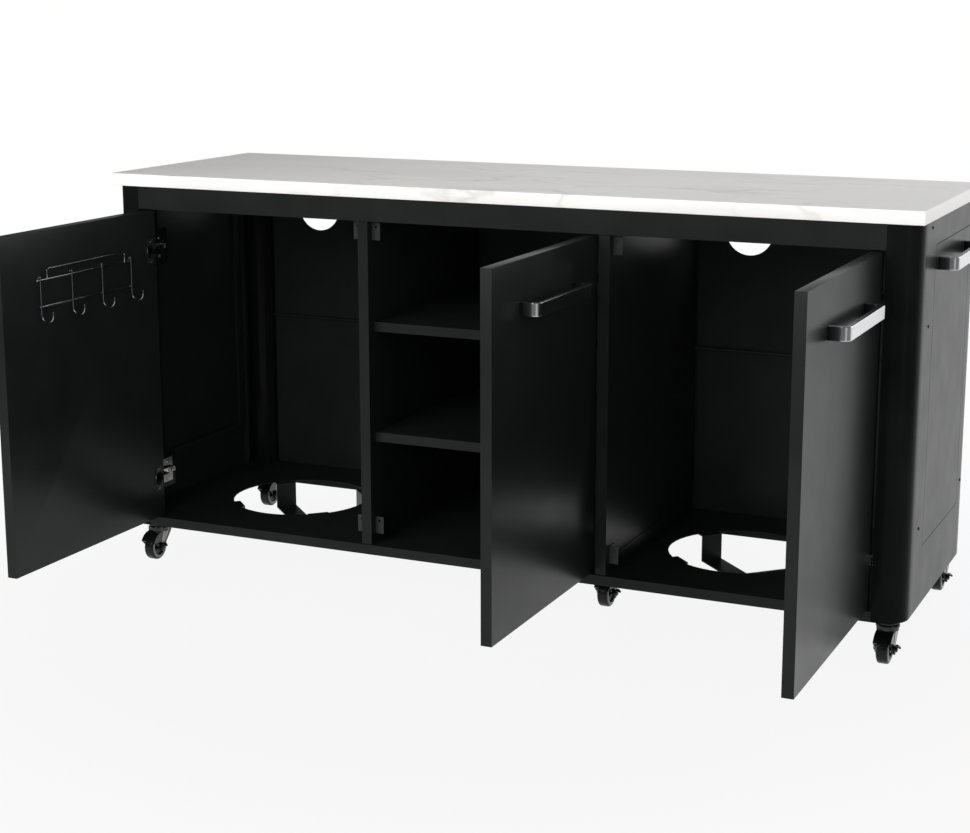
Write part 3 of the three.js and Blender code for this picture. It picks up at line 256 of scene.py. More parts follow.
bump = add(tree, "ShaderNodeBump", [("Height", peel, "Fac")], {"Distance": 0.00003, "Strength": 0.2})
tree.links.new(bump.outputs["Normal"], shader.inputs["Normal"])
print(powder_coat.name)

# %% [markdown]
# The four corner posts are a deeper black than the panels. The same powder process, with a
# smoother skin, gives them a narrow highlight along their round corner.

# %% Black powder coat on the posts: deep black, a narrow highlight
black_coat, tree, shader = start("black_powder_coat_on_steel", "#121313", 0.18, ior=1.12)
place = add(tree, "ShaderNodeTexCoord")
wide = add(tree, "ShaderNodeMapping", [("Vector", place, "Object")], grains(90, 90, 90))
mottle = add(tree, "ShaderNodeTexNoise", [("Vector", wide, "Vector")], {"Scale": 1.0, "Detail": 3.0})
shades = [(0.3, "#101111"), (0.7, "#151616")]
tone = add(tree, "ShaderNodeValToRGB", [("Fac", mottle, "Fac")], stops=shades)
tree.links.new(tone.outputs["Color"], shader.inputs["Base Color"])
fine = add(tree, "ShaderNodeMapping", [("Vector", place, "Object")], grains(2.2, 2.2, 2.2))
peel = add(tree, "ShaderNodeTexNoise", [("Vector", fine, "Vector")], {"Scale": 1.0, "Detail": 1.0})
bump = add(tree, "ShaderNodeBump", [("Height", peel, "Fac")], {"Distance": 0.00003, "Strength": 0.2})
tree.links.new(bump.outputs["Normal"], shader.inputs["Normal"])
print(black_coat.name)

# %% [markdown]
# The worktop is a sintered stone slab with a honed face: pale, nearly plain, with a few faint
# beige-grey veins that run on down its edges. A solid texture does that by itself, because
# the same pattern fills the whole block. The veins are where a slow noise passes through the
# middle of its range, which happens along thin winding sheets.

# %% Honed sintered stone: pale, softly clouded, with thin winding veins
stone, tree, shader = start("honed_sintered_stone", "#f0efed", 0.42, ior=1.42)
place = add(tree, "ShaderNodeTexCoord")
slab = add(tree, "ShaderNodeMapping", [("Vector", place, "Object")], grains(620, 260, 260))
cloud = add(tree, "ShaderNodeTexNoise", [("Vector", slab, "Vector")], {"Scale": 1.0, "Detail": 6.0})
body_shades = [(0.3, "#efeeec"), (0.55, "#f2f1ef"), (0.75, "#e9e7e4")]
body_tone = add(tree, "ShaderNodeValToRGB", [("Fac", cloud, "Fac")], stops=body_shades)
lode = add(tree, "ShaderNodeMapping", [("Vector", place, "Object")], grains(480, 210, 210))
winding = add(tree, "ShaderNodeTexNoise", [("Vector", lode, "Vector")], {"Scale": 1.0, "Detail": 7.0})
vein_stops = [
    (0.0, "#000000"),
    (0.485, "#000000"),
    (0.505, "#ffffff"),
    (0.525, "#000000"),
    (1.0, "#000000"),
]
vein = add(tree, "ShaderNodeValToRGB", [("Fac", winding, "Fac")], stops=vein_stops)
faint = add(tree, "ShaderNodeMapRange", [("Value", cloud, "Fac")], span(0.0, 0.55, 0.42, 0.62))
share = add(tree, "ShaderNodeMath", [(0, vein, "Color"), (1, faint, "Result")], operation="MULTIPLY")
veined = add(
    tree,
    "ShaderNodeMix",
    [("Factor", share, "Value"), (6, body_tone, "Color")],
    {7: linear("#c9c4bb")},
    data_type="RGBA",
)
tree.links.new(veined.outputs[2], shader.inputs["Base Color"])
grit = add(tree, "ShaderNodeMapping", [("Vector", place, "Object")], grains(1.6, 1.6, 1.6))
grain = add(tree, "ShaderNodeTexNoise", [("Vector", grit, "Vector")], {"Scale": 1.0})
bump = add(tree, "ShaderNodeBump", [("Height", grain, "Fac")], {"Distance": 0.00003, "Strength": 0.15})
tree.links.new(bump.outputs["Normal"], shader.inputs["Normal"])
print(stone.name)

# %% [markdown]
# The handles are brushed stainless bar: fine scratches run along the bar, so reflections
# smear across it. Long thin grains along Y give both the scratches and the change in gloss.

# %% Brushed stainless steel: bright metal, scratches along the bar
stainless, tree, shader = start("brushed_stainless_steel", "#d6d8d9", 0.24, 1.0)
place = add(tree, "ShaderNodeTexCoord")
lay = add(tree, "ShaderNodeMapping", [("Vector", place, "Object")], grains(0.6, 60, 0.6))
scratch = add(tree, "ShaderNodeTexNoise", [("Vector", lay, "Vector")], {"Scale": 1.0})
bump = add(tree, "ShaderNodeBump", [("Height", scratch, "Fac")], {"Distance": 0.00002, "Strength": 0.15})
tree.links.new(bump.outputs["Normal"], shader.inputs["Normal"])
gloss = add(tree, "ShaderNodeMapRange", [("Value", scratch, "Fac")], span(0.15, 0.26))
tree.links.new(gloss.outputs["Result"], shader.inputs["Roughness"])
print(stainless.name)

# %% [markdown]
# Small fittings. The hook rack is chromed wire, a mirror with faint cloudiness. The hinge
# arms are nickel-plated, which is a little darker and softer. The hinge cups and the catches
# are dark cast zinc, with the pitted skin of a casting.

# %% Chrome, nickel, zinc casting and zinc plate
chrome, tree, shader = start("chromed_steel_wire", "#8f9193", 0.12, 1.0)
place = add(tree, "ShaderNodeTexCoord")
scaled = add(tree, "ShaderNodeMapping", [("Vector", place, "Object")], grains(6, 6, 6))
haze = add(tree, "ShaderNodeTexNoise", [("Vector", scaled, "Vector")], {"Scale": 1.0})
gloss = add(tree, "ShaderNodeMapRange", [("Value", haze, "Fac")], span(0.09, 0.18))
tree.links.new(gloss.outputs["Result"], shader.inputs["Roughness"])

nickel, tree, shader = start("nickel_plated_steel", "#7d7c7a", 0.24, 1.0)
place = add(tree, "ShaderNodeTexCoord")
scaled = add(tree, "ShaderNodeMapping", [("Vector", place, "Object")], grains(4, 4, 4))
haze = add(tree, "ShaderNodeTexNoise", [("Vector", scaled, "Vector")], {"Scale": 1.0})
shades = [(0.3, "#757472"), (0.7, "#868582")]
tone = add(tree, "ShaderNodeValToRGB", [("Fac", haze, "Fac")], stops=shades)
tree.links.new(tone.outputs["Color"], shader.inputs["Base Color"])
gloss = add(tree, "ShaderNodeMapRange", [("Value", haze, "Fac")], span(0.16, 0.3))
tree.links.new(gloss.outputs["Result"], shader.inputs["Roughness"])

cast_zinc, tree, shader = start("dark_zinc_die_casting", "#2c2f2e", 0.42, 0.3)
place = add(tree, "ShaderNodeTexCoord")
scaled = add(tree, "ShaderNodeMapping", [("Vector", place, "Object")], grains(0.9, 0.9, 0.9))
pits = add(tree, "ShaderNodeTexNoise", [("Vector", scaled, "Vector")], {"Scale": 1.0})
shades = [(0.3, "#252827"), (0.7, "#323534")]
tone = add(tree, "ShaderNodeValToRGB", [("Fac", pits, "Fac")], stops=shades)
tree.links.new(tone.outputs["Color"], shader.inputs["Base Color"])
bump = add(tree, "ShaderNodeBump", [("Height", pits, "Fac")], {"Distance": 0.00003, "Strength": 0.3})
tree.links.new(bump.outputs["Normal"], shader.inputs["Normal"])

zinc_plate, tree, shader = start("bright_zinc_plated_steel", "#c4c7c9", 0.24, 1.0)
place = add(tree, "ShaderNodeTexCoord")
scaled = add(tree, "ShaderNodeMapping", [("Vector", place, "Object")], grains(1.5, 1.5, 1.5))
bloom = add(tree, "ShaderNodeTexNoise", [("Vector", scaled, "Vector")], {"Scale": 1.0})
shades = [(0.3, "#bcbfc1"), (0.7, "#cdd0d2")]
tone = add(tree, "ShaderNodeValToRGB", [("Fac", bloom, "Fac")], stops=shades)
tree.links.new(tone.outputs["Color"], shader.inputs["Base Color"])
print("chrome, nickel, casting, plate")

# %% [markdown]
# The casters have hoods in black gloss enamel, brake levers of moulded nylon and wheels of
# hard, cast polyurethane. The tread shines where it is new and is scuffed along its length.

# %% Enamel, polyurethane and nylon
enamel, tree, shader = start("black_gloss_enamel_on_steel", "#0b0c0d", 0.18)
place = add(tree, "ShaderNodeTexCoord")
scaled = add(tree, "ShaderNodeMapping", [("Vector", place, "Object")], grains(14, 14, 5))
runs = add(tree, "ShaderNodeTexNoise", [("Vector", scaled, "Vector")], {"Scale": 1.0})
gloss = add(tree, "ShaderNodeMapRange", [("Value", runs, "Fac")], span(0.12, 0.24))
tree.links.new(gloss.outputs["Result"], shader.inputs["Roughness"])

tread, tree, shader = start("cast_polyurethane", "#0c0d0e", 0.28, ior=1.3)
place = add(tree, "ShaderNodeTexCoord")
scaled = add(tree, "ShaderNodeMapping", [("Vector", place, "Object")], grains(1.2, 4, 4))
scuff = add(tree, "ShaderNodeTexNoise", [("Vector", scaled, "Vector")], {"Scale": 1.0, "Detail": 3.0})
shades = [(0.35, "#0a0b0c"), (0.8, "#17181a")]
tone = add(tree, "ShaderNodeValToRGB", [("Fac", scuff, "Fac")], stops=shades)
tree.links.new(tone.outputs["Color"], shader.inputs["Base Color"])
gloss = add(tree, "ShaderNodeMapRange", [("Value", scuff, "Fac")], span(0.2, 0.4))
tree.links.new(gloss.outputs["Result"], shader.inputs["Roughness"])

rim_grey, tree, shader = start("moulded_grey_polypropylene", "#8b8d8f", 0.3)
place = add(tree, "ShaderNodeTexCoord")
scaled = add(tree, "ShaderNodeMapping", [("Vector", place, "Object")], grains(3, 3, 3))
flow = add(tree, "ShaderNodeTexNoise", [("Vector", scaled, "Vector")], {"Scale": 1.0})
shades = [(0.3, "#858789"), (0.7, "#929496")]
tone = add(tree, "ShaderNodeValToRGB", [("Fac", flow, "Fac")], stops=shades)
tree.links.new(tone.outputs["Color"], shader.inputs["Base Color"])

nylon, tree, shader = start("moulded_black_nylon", "#0b0c0d", 0.35, ior=1.4)
place = add(tree, "ShaderNodeTexCoord")
scaled = add(tree, "ShaderNodeMapping", [("Vector", place, "Object")], grains(0.8, 0.8, 0.8))
spark = add(tree, "ShaderNodeTexNoise", [("Vector", scaled, "Vector")], {"Scale": 1.0})
bump = add(tree, "ShaderNodeBump", [("Height", spark, "Fac")], {"Distance": 0.00003, "Strength": 0.3})
tree.links.new(bump.outputs["Normal"], shader.inputs["Normal"])
gloss = add(tree, "ShaderNodeMapRange", [("Value", spark, "Fac")], span(0.3, 0.42))
tree.links.new(gloss.outputs["Result"], shader.inputs["Roughness"])
print(len(bpy.data.materials), "materials")

# %% [markdown]
# Each solid takes the finish that its slot in the parts list names. The posts and the hinge
# arms have a finish of their own.

# %% Dress the solids
FINISHES = {
    "powder_coat": powder_coat,
    "stone": stone,
    "stainless": stainless,
    "chrome": chrome,
    "dark_zinc": cast_zinc,
    "black_enamel": enamel,
    "wheel": tread,
    "nylon": nylon,
}
OWN_FINISHES = {"_post": black_coat, "_hinge_arm": nickel}
for part in frame["record"]["subparts"]:
    own = [finish for ending, finish in OWN_FINISHES.items() if part["node"].endswith(ending)]
    mesh = nodes[part["node"]].data
    mesh.materials.clear()
    mesh.materials.append(own[0] if own else FINISHES[part["material_slot"]])

# %% [markdown]
# The solids come as loose flat triangles. A modifier can weld them and then shade the
# facets of a curve as one smooth face, while edges sharper than 35 degrees stay crisp. This
# changes how they look and leaves the solids themselves as they are.

# %% Smooth shading for the curved sheets
WELD_REACH, CRISP_ANGLE = 0.00002, math.radians(35)
smoothing = bpy.data.node_groups.new("weld_and_smooth_by_angle", "GeometryNodeTree")
smoothing.interface.new_socket("Geometry", in_out="INPUT", socket_type="NodeSocketGeometry")
smoothing.interface.new_socket("Geometry", in_out="OUTPUT", socket_type="NodeSocketGeometry")
given = add(smoothing, "NodeGroupInput")
given_link = [("Geometry", given, "Geometry")]
welded = add(smoothing, "GeometryNodeMergeByDistance", given_link, {"Distance": WELD_REACH})
angle = add(smoothing, "GeometryNodeInputMeshEdgeAngle")
gentle = add(
    smoothing,
    "FunctionNodeCompare",
    [(0, angle, "Unsigned Angle")],
    {1: CRISP_ANGLE},
    data_type="FLOAT",
    operation="LESS_THAN",
)
faces = add(smoothing, "GeometryNodeSetShadeSmooth", [("Geometry", welded, "Geometry")])
faces.domain = "FACE"
edges = add(smoothing, "GeometryNodeSetShadeSmooth", [("Geometry", faces, "Geometry")])
edges.domain = "EDGE"
smoothing.links.new(gentle.outputs[0], edges.inputs["Shade Smooth"])
add(smoothing, "NodeGroupOutput", [("Geometry", edges, "Geometry")])
for solid in nodes.values():
    solid.modifiers.new("smooth_by_angle", "NODES").node_group = smoothing
print(len(nodes), "solids shaded by angle")

# %% [markdown]
# New pieces are grids of points worked out at once. A grid has rows along a path and columns
# round a section. Its end rows are closed by one face each, or joined to each other where the
# rows run round a ring, so every piece is a closed skin that faces outwards.

# %% From grids of points to a piece


def outward(points, quads, ends):
    """The faces turned so that the volume, a sixth of the sum of a . (b x c), is positive."""
    fans = [np.stack([np.full(len(e) - 2, e[0]), e[1:-1], e[2:]], 1) for e in ends]
    a, b, c = points[np.concatenate([quads[:, :3], quads[:, [0, 2, 3]], *fans])].transpose(1, 0, 2)
    turn = -1 if np.einsum("ij,ij->", a, np.cross(b, c)) < 0 else 1
    return quads[:, ::turn].tolist() + [end[::turn].tolist() for end in ends]


def skin(name, grids, material, body, replaces=(), crisp=False):
    """One piece from (grid, ring) pairs, grids of shape (rows, columns, 3), columns joined round."""
    corners, faces = [], []
    for grid, ring in grids:
        rows, columns = grid.shape[:2]
        index = np.arange(rows * columns).reshape(rows, columns)
        a, b = (index, np.roll(index, -1, 0)) if ring else (index[:-1], index[1:])
        quads = np.stack([a, np.roll(a, -1, 1), np.roll(b, -1, 1), b], -1).reshape(-1, 4)
        ends = [] if ring else [index[0][::-1], index[-1]]
        before = sum(len(c) for c in corners)
        faces += [[before + i for i in face] for face in outward(grid.reshape(-1, 3), quads, ends)]
        corners.append(grid.reshape(-1, 3))
    mesh = bpy.data.meshes.new(name)
    mesh.from_pydata(np.concatenate(corners).tolist(), [], faces)
    mesh.polygons.foreach_set("use_smooth", np.array([len(face) == 4 for face in faces]))
    mesh.materials.append(material)
    obj = bpy.data.objects.new(name, mesh)
    bpy.context.scene.collection.objects.link(obj)
    if crisp:
        obj.modifiers.new("smooth_by_angle", "NODES").node_group = smoothing
    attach(obj, body)
    if replaces:
        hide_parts(*replaces)


print("grids become closed skins")

# %% [markdown]
# Three ways to make a grid cover all the fittings. A lathe turns a profile round an axis. A
# loft carries a section through places with its own width at each. A sweep is a loft whose
# section stays square to a bent path, as a tube does. Guard points close beside each bend keep
# the smooth shading of the bend from spreading over the flat next to it.

# %% Lathe, loft and sweep
BEND_GUARD, OBLONG_GUARD = 0.04, 0.5


def turned(centre, axis, profile, sides=32, ring=False):
    """Rows of (distance, radius) in mm become centre + distance * axis + radius * (cos t, sin t),
    with the circle square to the axis."""
    along = np.array(axis, float)
    across = np.cross(along, [0.0, 0.0, 1.0] if abs(along[2]) < 0.9 else [1.0, 0.0, 0.0])
    third = np.cross(along, across)
    turn = np.linspace(0, 2 * np.pi, sides, endpoint=False)
    spokes = np.cos(turn)[:, None] * across + np.sin(turn)[:, None] * third
    rows = np.array(profile, float) / 1000
    return np.array(centre) + rows[:, :1, None] * along + rows[:, 1:, None] * spokes, ring


def lofted(centres, first, second, section):
    """Each section point (a, b) becomes centre + a * first + b * second at every centre."""
    return centres[:, None] + section[:, :1] * first[:, None] + section[:, 1:] * second[:, None], False


def swept(path, across, section, widths=1.0):
    """A section square to a plane path: its direction is the mean of the steps on both sides,
    and the section's first side is across x direction."""
    steps = np.diff(path, axis=0)
    steps /= np.linalg.norm(steps, axis=1, keepdims=True)
    ahead = np.vstack([steps[:1], steps[:-1] + steps[1:], steps[-1:]])
    ahead /= np.linalg.norm(ahead, axis=1, keepdims=True)
    size = np.broadcast_to(widths, len(path))[:, None]
    return lofted(path, size * np.cross(across, ahead), size * np.array(across, float), section)


def rounded(points, radii, steps=8):
    """A bent path: each inner corner becomes an arc of its radius, the exact circle as a rational
    curve (A (1-t)^2 + P 2 w t (1-t) + B t^2) / (same weights), w the cosine of half the turn."""
    points = np.array(points, float)
    corner, radii = points[1:-1], np.broadcast_to(radii, len(points) - 2)[:, None]
    back = points[:-2] - corner
    on = points[2:] - corner
    back /= np.linalg.norm(back, axis=1, keepdims=True)
    on /= np.linalg.norm(on, axis=1, keepdims=True)
    half_turn = (np.pi - np.arccos(np.clip((back * on).sum(1, keepdims=True), -1, 1))) / 2
    cut = radii * np.tan(half_turn)
    a, b = (corner + back * cut)[:, None], (corner + on * cut)[:, None]
    w = np.cos(half_turn)[:, None]
    t = np.linspace(0, 1, steps + 1)[None, :, None]
    arcs = (a * (1 - t) ** 2 + corner[:, None] * 2 * w * t * (1 - t) + b * t**2) / (
        (1 - t) ** 2 + 2 * w * t * (1 - t) + t**2
    )
    guard = BEND_GUARD * cut[:, None]
    arcs = np.concatenate([a + back[:, None] * guard, arcs, b + on[:, None] * guard], 1)
    return np.vstack([points[:1], arcs.reshape(-1, 3), points[-1:]])


def oblong(wide, tall, radius, steps=4):
    """Section in metres: a rectangle whose corners are quarter circles, centre + radius *
    (cos t, sin t), with a guard point beside each end of a corner."""
    turn = np.linspace(0, np.pi / 2, steps + 1) + np.arange(4)[:, None] * np.pi / 2
    signs = np.array([[1, 1], [-1, 1], [-1, -1], [1, -1]])
    centres = signs * (np.array([wide, tall]) / 2 - radius)
    arcs = centres[:, None] + radius * np.stack([np.cos(turn), np.sin(turn)], -1)
    travel = np.stack([-np.sin(turn), np.cos(turn)], -1) * radius * OBLONG_GUARD
    arcs = np.concatenate([arcs[:, :1] - travel[:, :1], arcs, arcs[:, -1:] + travel[:, -1:]], 1)
    return arcs.reshape(-1, 2) / 1000


def unit_oblong(corner):
    """An oblong from -1 to 1 both ways, its corners rounded by a share of that. A loft whose
    sides are half widths in metres brings it to size."""
    return oblong(2000, 2000, 1000 * corner)


def disc(radius, sides=12):
    """Section in metres: a circle of so many sides."""
    turn = np.linspace(0, 2 * np.pi, sides, endpoint=False)
    return np.stack([np.cos(turn), np.sin(turn)], 1) * radius / 1000


print("a rounded bar has", len(oblong(11, 26, 1.2)), "points round it")

# %% [markdown]
# Each handle is one flat stainless bar, bent twice and fixed by its two ends. The bend's outer
# radius is 17 mm, and it is swept in ten steps so that the highlight runs round it as one band.

# %% Bar handles
BAR_HALF, BAR_OUT, BAR_THICK, BAR_TALL, BAR_BEND = 140, 41, 11, 26, 17
BAR_GAP, BAR_EDGE, DOOR_BAR_Z, SIDE_BAR_Z = 0.3, 1.2, 743.7, 796.7
HANDLES = [
    ("left_door", "left_door_leaf", at(-856, -260.5, DOOR_BAR_Z), -1),
    ("middle_door", "middle_door_leaf", at(260, -248.5, DOOR_BAR_Z), 1),
    ("right_door", "right_door_leaf", at(856, -262.5, DOOR_BAR_Z), 1),
    ("side", "cabinet", at(HALF_WIDTH, 318, SIDE_BAR_Z), 1),
]


def bar(foot, side):
    """From the foot's face out to the bar, along it and back, in the plane of X and Y."""
    out, end = BAR_OUT - BAR_THICK / 2, BAR_HALF - BAR_THICK / 2
    line = np.array([(BAR_GAP, end), (out, end), (out, -end), (BAR_GAP, -end)]) / 1000
    points = foot + np.stack([side * line[:, 0], line[:, 1], 0 * line[:, 0]], 1)
    path = rounded(points, (BAR_BEND - BAR_THICK / 2) / 1000, 10)
    return swept(path, (0, 0, 1), oblong(BAR_THICK, BAR_TALL, BAR_EDGE))


for place_name, body, foot, side in HANDLES:
    node = "side_handle" if place_name == "side" else f"{place_name}_handle"
    skin(f"{place_name}_handle_bar", [bar(foot, side)], stainless, body, [node])
print(len(HANDLES), "handles,", 2 * BAR_HALF, "mm long")

# %% [markdown]
# The hook rack on the left door is bent from 3.8 mm wire: one frame wire over the top, two
# long wires and four hooks welded on in front. A hook's head curls back over the long wire,
# and its foot turns up. Wire ends are ground round, which the sweep makes by shrinking its
# last sections along a quarter circle.

# %% Hook rack
WIRE = 1.9
RACK_TOP, RACK_MIDDLE, RACK_LOW, HOOK_LOW, HOOK_TIP = 756.7, 734.7, 677.7, 646.7, 667.7
RACK_NEAR, RACK_FAR, LONG_X, HOOK_X, TIP_X = -93, -421, -826.7, -825.4, -795.4
ARCH_INSET, ARCH_BEND, END_TURNS = 24, 0.005, [30, 60, 84]
HOOK_HEAD = [(-831, 739.5), (-829.2, 743.2), (HOOK_X, 741)]
HOOK_FOOT = [(HOOK_X, HOOK_LOW), (TIP_X, HOOK_LOW), (TIP_X, HOOK_TIP)]
HOOK_BENDS = [0.001, 0.001, 0.0149, 0.0149]


def wire(points, across, radii=0.0):
    """A round tube on a bent path, its ends closed by rows at r sin t beyond them, shrunk by cos t."""
    path = rounded(points, radii, 8) if len(points) > 2 else np.array(points, float)
    turn = np.radians(END_TURNS)
    first, last = path[0] - path[1], path[-1] - path[-2]
    first, last = first / np.linalg.norm(first), last / np.linalg.norm(last)
    reach = (np.sin(turn) * WIRE / 1000)[:, None]
    path = np.vstack([(path[0] + reach * first)[::-1], path, path[-1] + reach * last])
    widths = np.ones(len(path))
    widths[:3], widths[-3:] = np.cos(turn)[::-1], np.cos(turn)
    return swept(path, across, disc(WIRE), widths)


tubes = [
    wire([at(LONG_X, RACK_NEAR + 1, z), at(LONG_X, RACK_FAR - 1, z)], (0, 0, 1))
    for z in (RACK_MIDDLE, RACK_LOW)
]
near_y, far_y = RACK_NEAR - ARCH_INSET, RACK_FAR + ARCH_INSET
arch = [(near_y, RACK_MIDDLE), (near_y, RACK_TOP), (far_y, RACK_TOP), (far_y, RACK_MIDDLE)]
tubes.append(wire([at(HOOK_X, y, z) for y, z in arch], (1, 0, 0), ARCH_BEND))
for y in np.linspace(RACK_NEAR, RACK_FAR, 4):
    hook = [at(x, y, z) for x, z in HOOK_HEAD + HOOK_FOOT]
    tubes.append(wire(hook, (0, 1, 0), HOOK_BENDS))
PAD = [(-832.7, 3.6), (-832.2, 3.9), (-831.6, 3.5), (-831.0, 2.2), (-829.8, 1.7), (-826.7, 1.6)]
for y in (RACK_NEAR, RACK_FAR):
    tubes.append(turned(at(0, y, RACK_MIDDLE), (1, 0, 0), PAD, 24))
skin("hook_rack_wires", tubes, chrome, "left_door_leaf", ["hook_rack"])
print(len(tubes), "wires and pads")

# %% [markdown]
# Casters. The wheel is cast in one closed ring: a rounded tread, a flat rim, a dish and a hub
# with the axle's bore. Turning its profile 48 times keeps the tread's highlight even. A thin
# grey flange on both faces shows where the hub meets the tread.

# %% Wheels
CASTERS = {
    "front_left": (-863, 36),
    "front_middle": (249, 146),
    "front_right": (892, 36),
    "rear_left": (-863, 564),
    "rear_right": (892, 564),
}
TRAIL, AXLE_Z = 20, 31.5
bend = np.radians(np.linspace(0, 90, 7))
shoulder = np.stack([7 + 5 * np.cos(bend), 26.5 + 5 * np.sin(bend)], 1)
hub = [(12, 4.08), (12, 7.4), (11.4, 8.1), (8.2, 8.5), (8.0, 9.0)]
dish = [(8.0, 18.2), (8.4, 18.9), (11.4, 20.6), (12, 21.2)]
half_profile = np.vstack([hub, dish, shoulder])
wheel_profile = np.vstack([half_profile, half_profile[::-1] * [-1, 1]])
RIM = [
    (11.9, 20.9),
    (12.5, 21.3),
    (12.9, 22.2),
    (12.9, 25.6),
    (12.5, 26.6),
    (11.4, 27.6),
    (11.0, 27.4),
]
for name, (x, y) in CASTERS.items():
    middle = at(x, y - TRAIL, AXLE_Z)
    wheel = turned(middle, (1, 0, 0), wheel_profile, 48, ring=True)
    body, solid = f"{name}_wheel", f"{name}_caster_wheel"
    skin(f"{name}_tread", [wheel], tread, body, [solid], crisp=True)
    rims = [turned(middle, (side, 0, 0), RIM, 48, ring=True) for side in (-1, 1)]
    skin(f"{name}_rim", rims, rim_grey, body, crisp=True)
print(2 * len(CASTERS), "wheel pieces")

# %% [markdown]
# The fork swivels on two rows of balls between pressed rings: the upper ring stays with the
# cabinet's plate and the lower one turns with the fork. Nickel-plated cheeks stand on both
# sides of the hood, and domed rivets close the axle.

# %% Swivel rings, cheeks and axle ends
LOWER_RING = [
    (72.6, 22.5),
    (72.6, 23.7),
    (73.4, 24.4),
    (75.4, 24.6),
    (77.6, 24.2),
    (78.4, 23.4),
    (78.4, 22.5),
]
UPPER_RING = [(79.7, 19.6), (79.9, 21.6), (80.8, 22.4), (82.4, 22.4), (83.3, 21.6), (83.5, 19.6)]
CHEEK = np.array([
    (77.2, 3, 11),
    (72, 1.5, 11.5),
    (66, -2, 12),
    (58, -6.5, 11.5),
    (50, -11, 10),
    (43.6, -15, 7),
])
CHEEK_OUT, CHEEK_HALF_THICK = 18.85, 0.00035
AXLE_REACH = {-1: 21, 1: 24.6}
DOME = [(0.0, 5.6), (0.9, 5.4), (1.5, 4.2), (1.9, 2.2), (2.0, 0.4)]
for name, (x, y) in CASTERS.items():
    low_ring = turned(at(x, y, 0), (0, 0, 1), LOWER_RING, 48, ring=True)
    skin(f"{name}_swivel_ring", [low_ring], enamel, f"{name}_fork", crisp=True)
    high_ring = turned(at(x, y, 0), (0, 0, 1), UPPER_RING, 48, ring=True)
    skin(f"{name}_plate_ring", [high_ring], enamel, "cabinet", crisp=True)
    plates = []
    for side in (-1, 1):
        centres = np.array([at(x + side * CHEEK_OUT, y + dy, z) for z, dy, half in CHEEK])
        along = np.array([[0, half / 1000, 0] for half in CHEEK[:, 2]])
        through = np.tile([CHEEK_HALF_THICK, 0, 0], (len(CHEEK), 1))
        plates.append(lofted(centres, along, through, unit_oblong(0.3)))
    skin(f"{name}_cheeks", plates, nickel, f"{name}_fork", crisp=True)
    ends = [
        turned(at(x + side * reach, y - TRAIL, AXLE_Z), (side, 0, 0), DOME, 24)
        for side, reach in AXLE_REACH.items()
    ]
    skin(f"{name}_axle_ends", ends, enamel, f"{name}_fork")
print(4 * len(CASTERS), "fork pieces")

# %% [markdown]
# The brake lever is a nylon moulding on the end of the axle: a round boss, a tongue that
# grips the wheel and a short pedal that narrows to a blunt tip. It replaces the plain solid.

# %% Brake levers
BOSS = [(18.8, 4.5), (18.8, 6.9), (19.4, 7.5), (21.2, 7.5), (21.8, 6.9), (21.8, 4.5)]
PEDAL = np.array([
    (18.9, 37.2, 6.4),
    (21.5, 39.0, 7.4),
    (24.0, 39.4, 7.4),
    (27.0, 38.4, 6.6),
    (30.0, 36.8, 4.8),
    (32.6, 35.2, 2.2),
])
TONGUE = np.array([(27, 6.0), (24, 5.2), (22, 4.0), (20.6, 2.4)])
PEDAL_THICK, TONGUE_OUT, TONGUE_THICK = [0.0006, 0, 0.0015], 20.3, [0.0014, 0, 0]
for name, (x, y) in CASTERS.items():
    boss = turned(at(x, y - TRAIL, AXLE_Z), (1, 0, 0), BOSS, 32, ring=True)
    ridge = np.array([at(x + reach, y - TRAIL, z) for reach, z, half in PEDAL])
    broad = np.array([[0, half / 1000, 0] for half in PEDAL[:, 2]])
    thick = np.tile(PEDAL_THICK, (len(PEDAL), 1))
    pedal = lofted(ridge, broad, thick, unit_oblong(0.6))
    spine = np.array([at(x + TONGUE_OUT, y - TRAIL, z) for z, half in TONGUE])
    flat = np.array([[0, half / 1000, 0] for half in TONGUE[:, 1]])
    slim = np.tile(TONGUE_THICK, (len(TONGUE), 1))
    tongue = lofted(spine, flat, slim, unit_oblong(0.5))
    lever = [boss, pedal, tongue]
    body, solid = f"{name}_brake_lever", f"{name}_caster_brake_lever"
    skin(f"{name}_brake_pedal", lever, nylon, body, [solid], crisp=True)
print(len(CASTERS), "brake levers")

# %% [markdown]
# Concealed hinges. A cup is let into the door and held by two screws on its rim plate. The
# arm on the jamb has an arched steel cover with a depth screw in it, and a wing plate with
# one screw above and one below the arm.

# %% Hinge screws and arm covers
PINS = {"left": (-849, -1), "middle": (253, 1), "right": (849, 1)}
HINGE_HEIGHTS = {"lower": 206.0, "upper": 743.7}
PAN = [(-0.2, 3.4), (0.2, 3.7), (0.8, 3.5), (1.2, 2.6), (1.25, 1.5), (0.6, 1.2), (0.5, 0.3)]
COVER = np.array([
    (30.4, 0.94),
    (31, 1.0),
    (46, 1.0),
    (58, 0.96),
    (74, 0.82),
    (88, 0.7),
    (93.5, 0.6),
    (94.6, 0.4),
])
CUP_SCREW_IN, CUP_SCREW_Y, CUP_SCREW_RISE = 17.9, -3.7, 23
WING_SCREW_OUT, WING_SCREW_Y, WING_SCREW_RISE = 11.7, 72, 21
ARM_OUT, COVER_SINK, COVER_HALF_WIDE, COVER_HALF_TALL = 9.1, 0.8, 0.006, 0.0104
DEPTH_SCREW_IN, DEPTH_SCREW_Y = 5.8, 82
MOUTH_ENDS, MOUTH_HALF_WIDE, MOUTH_HALF_TALL = (30.1, 31.5), 0.0022, 0.0078
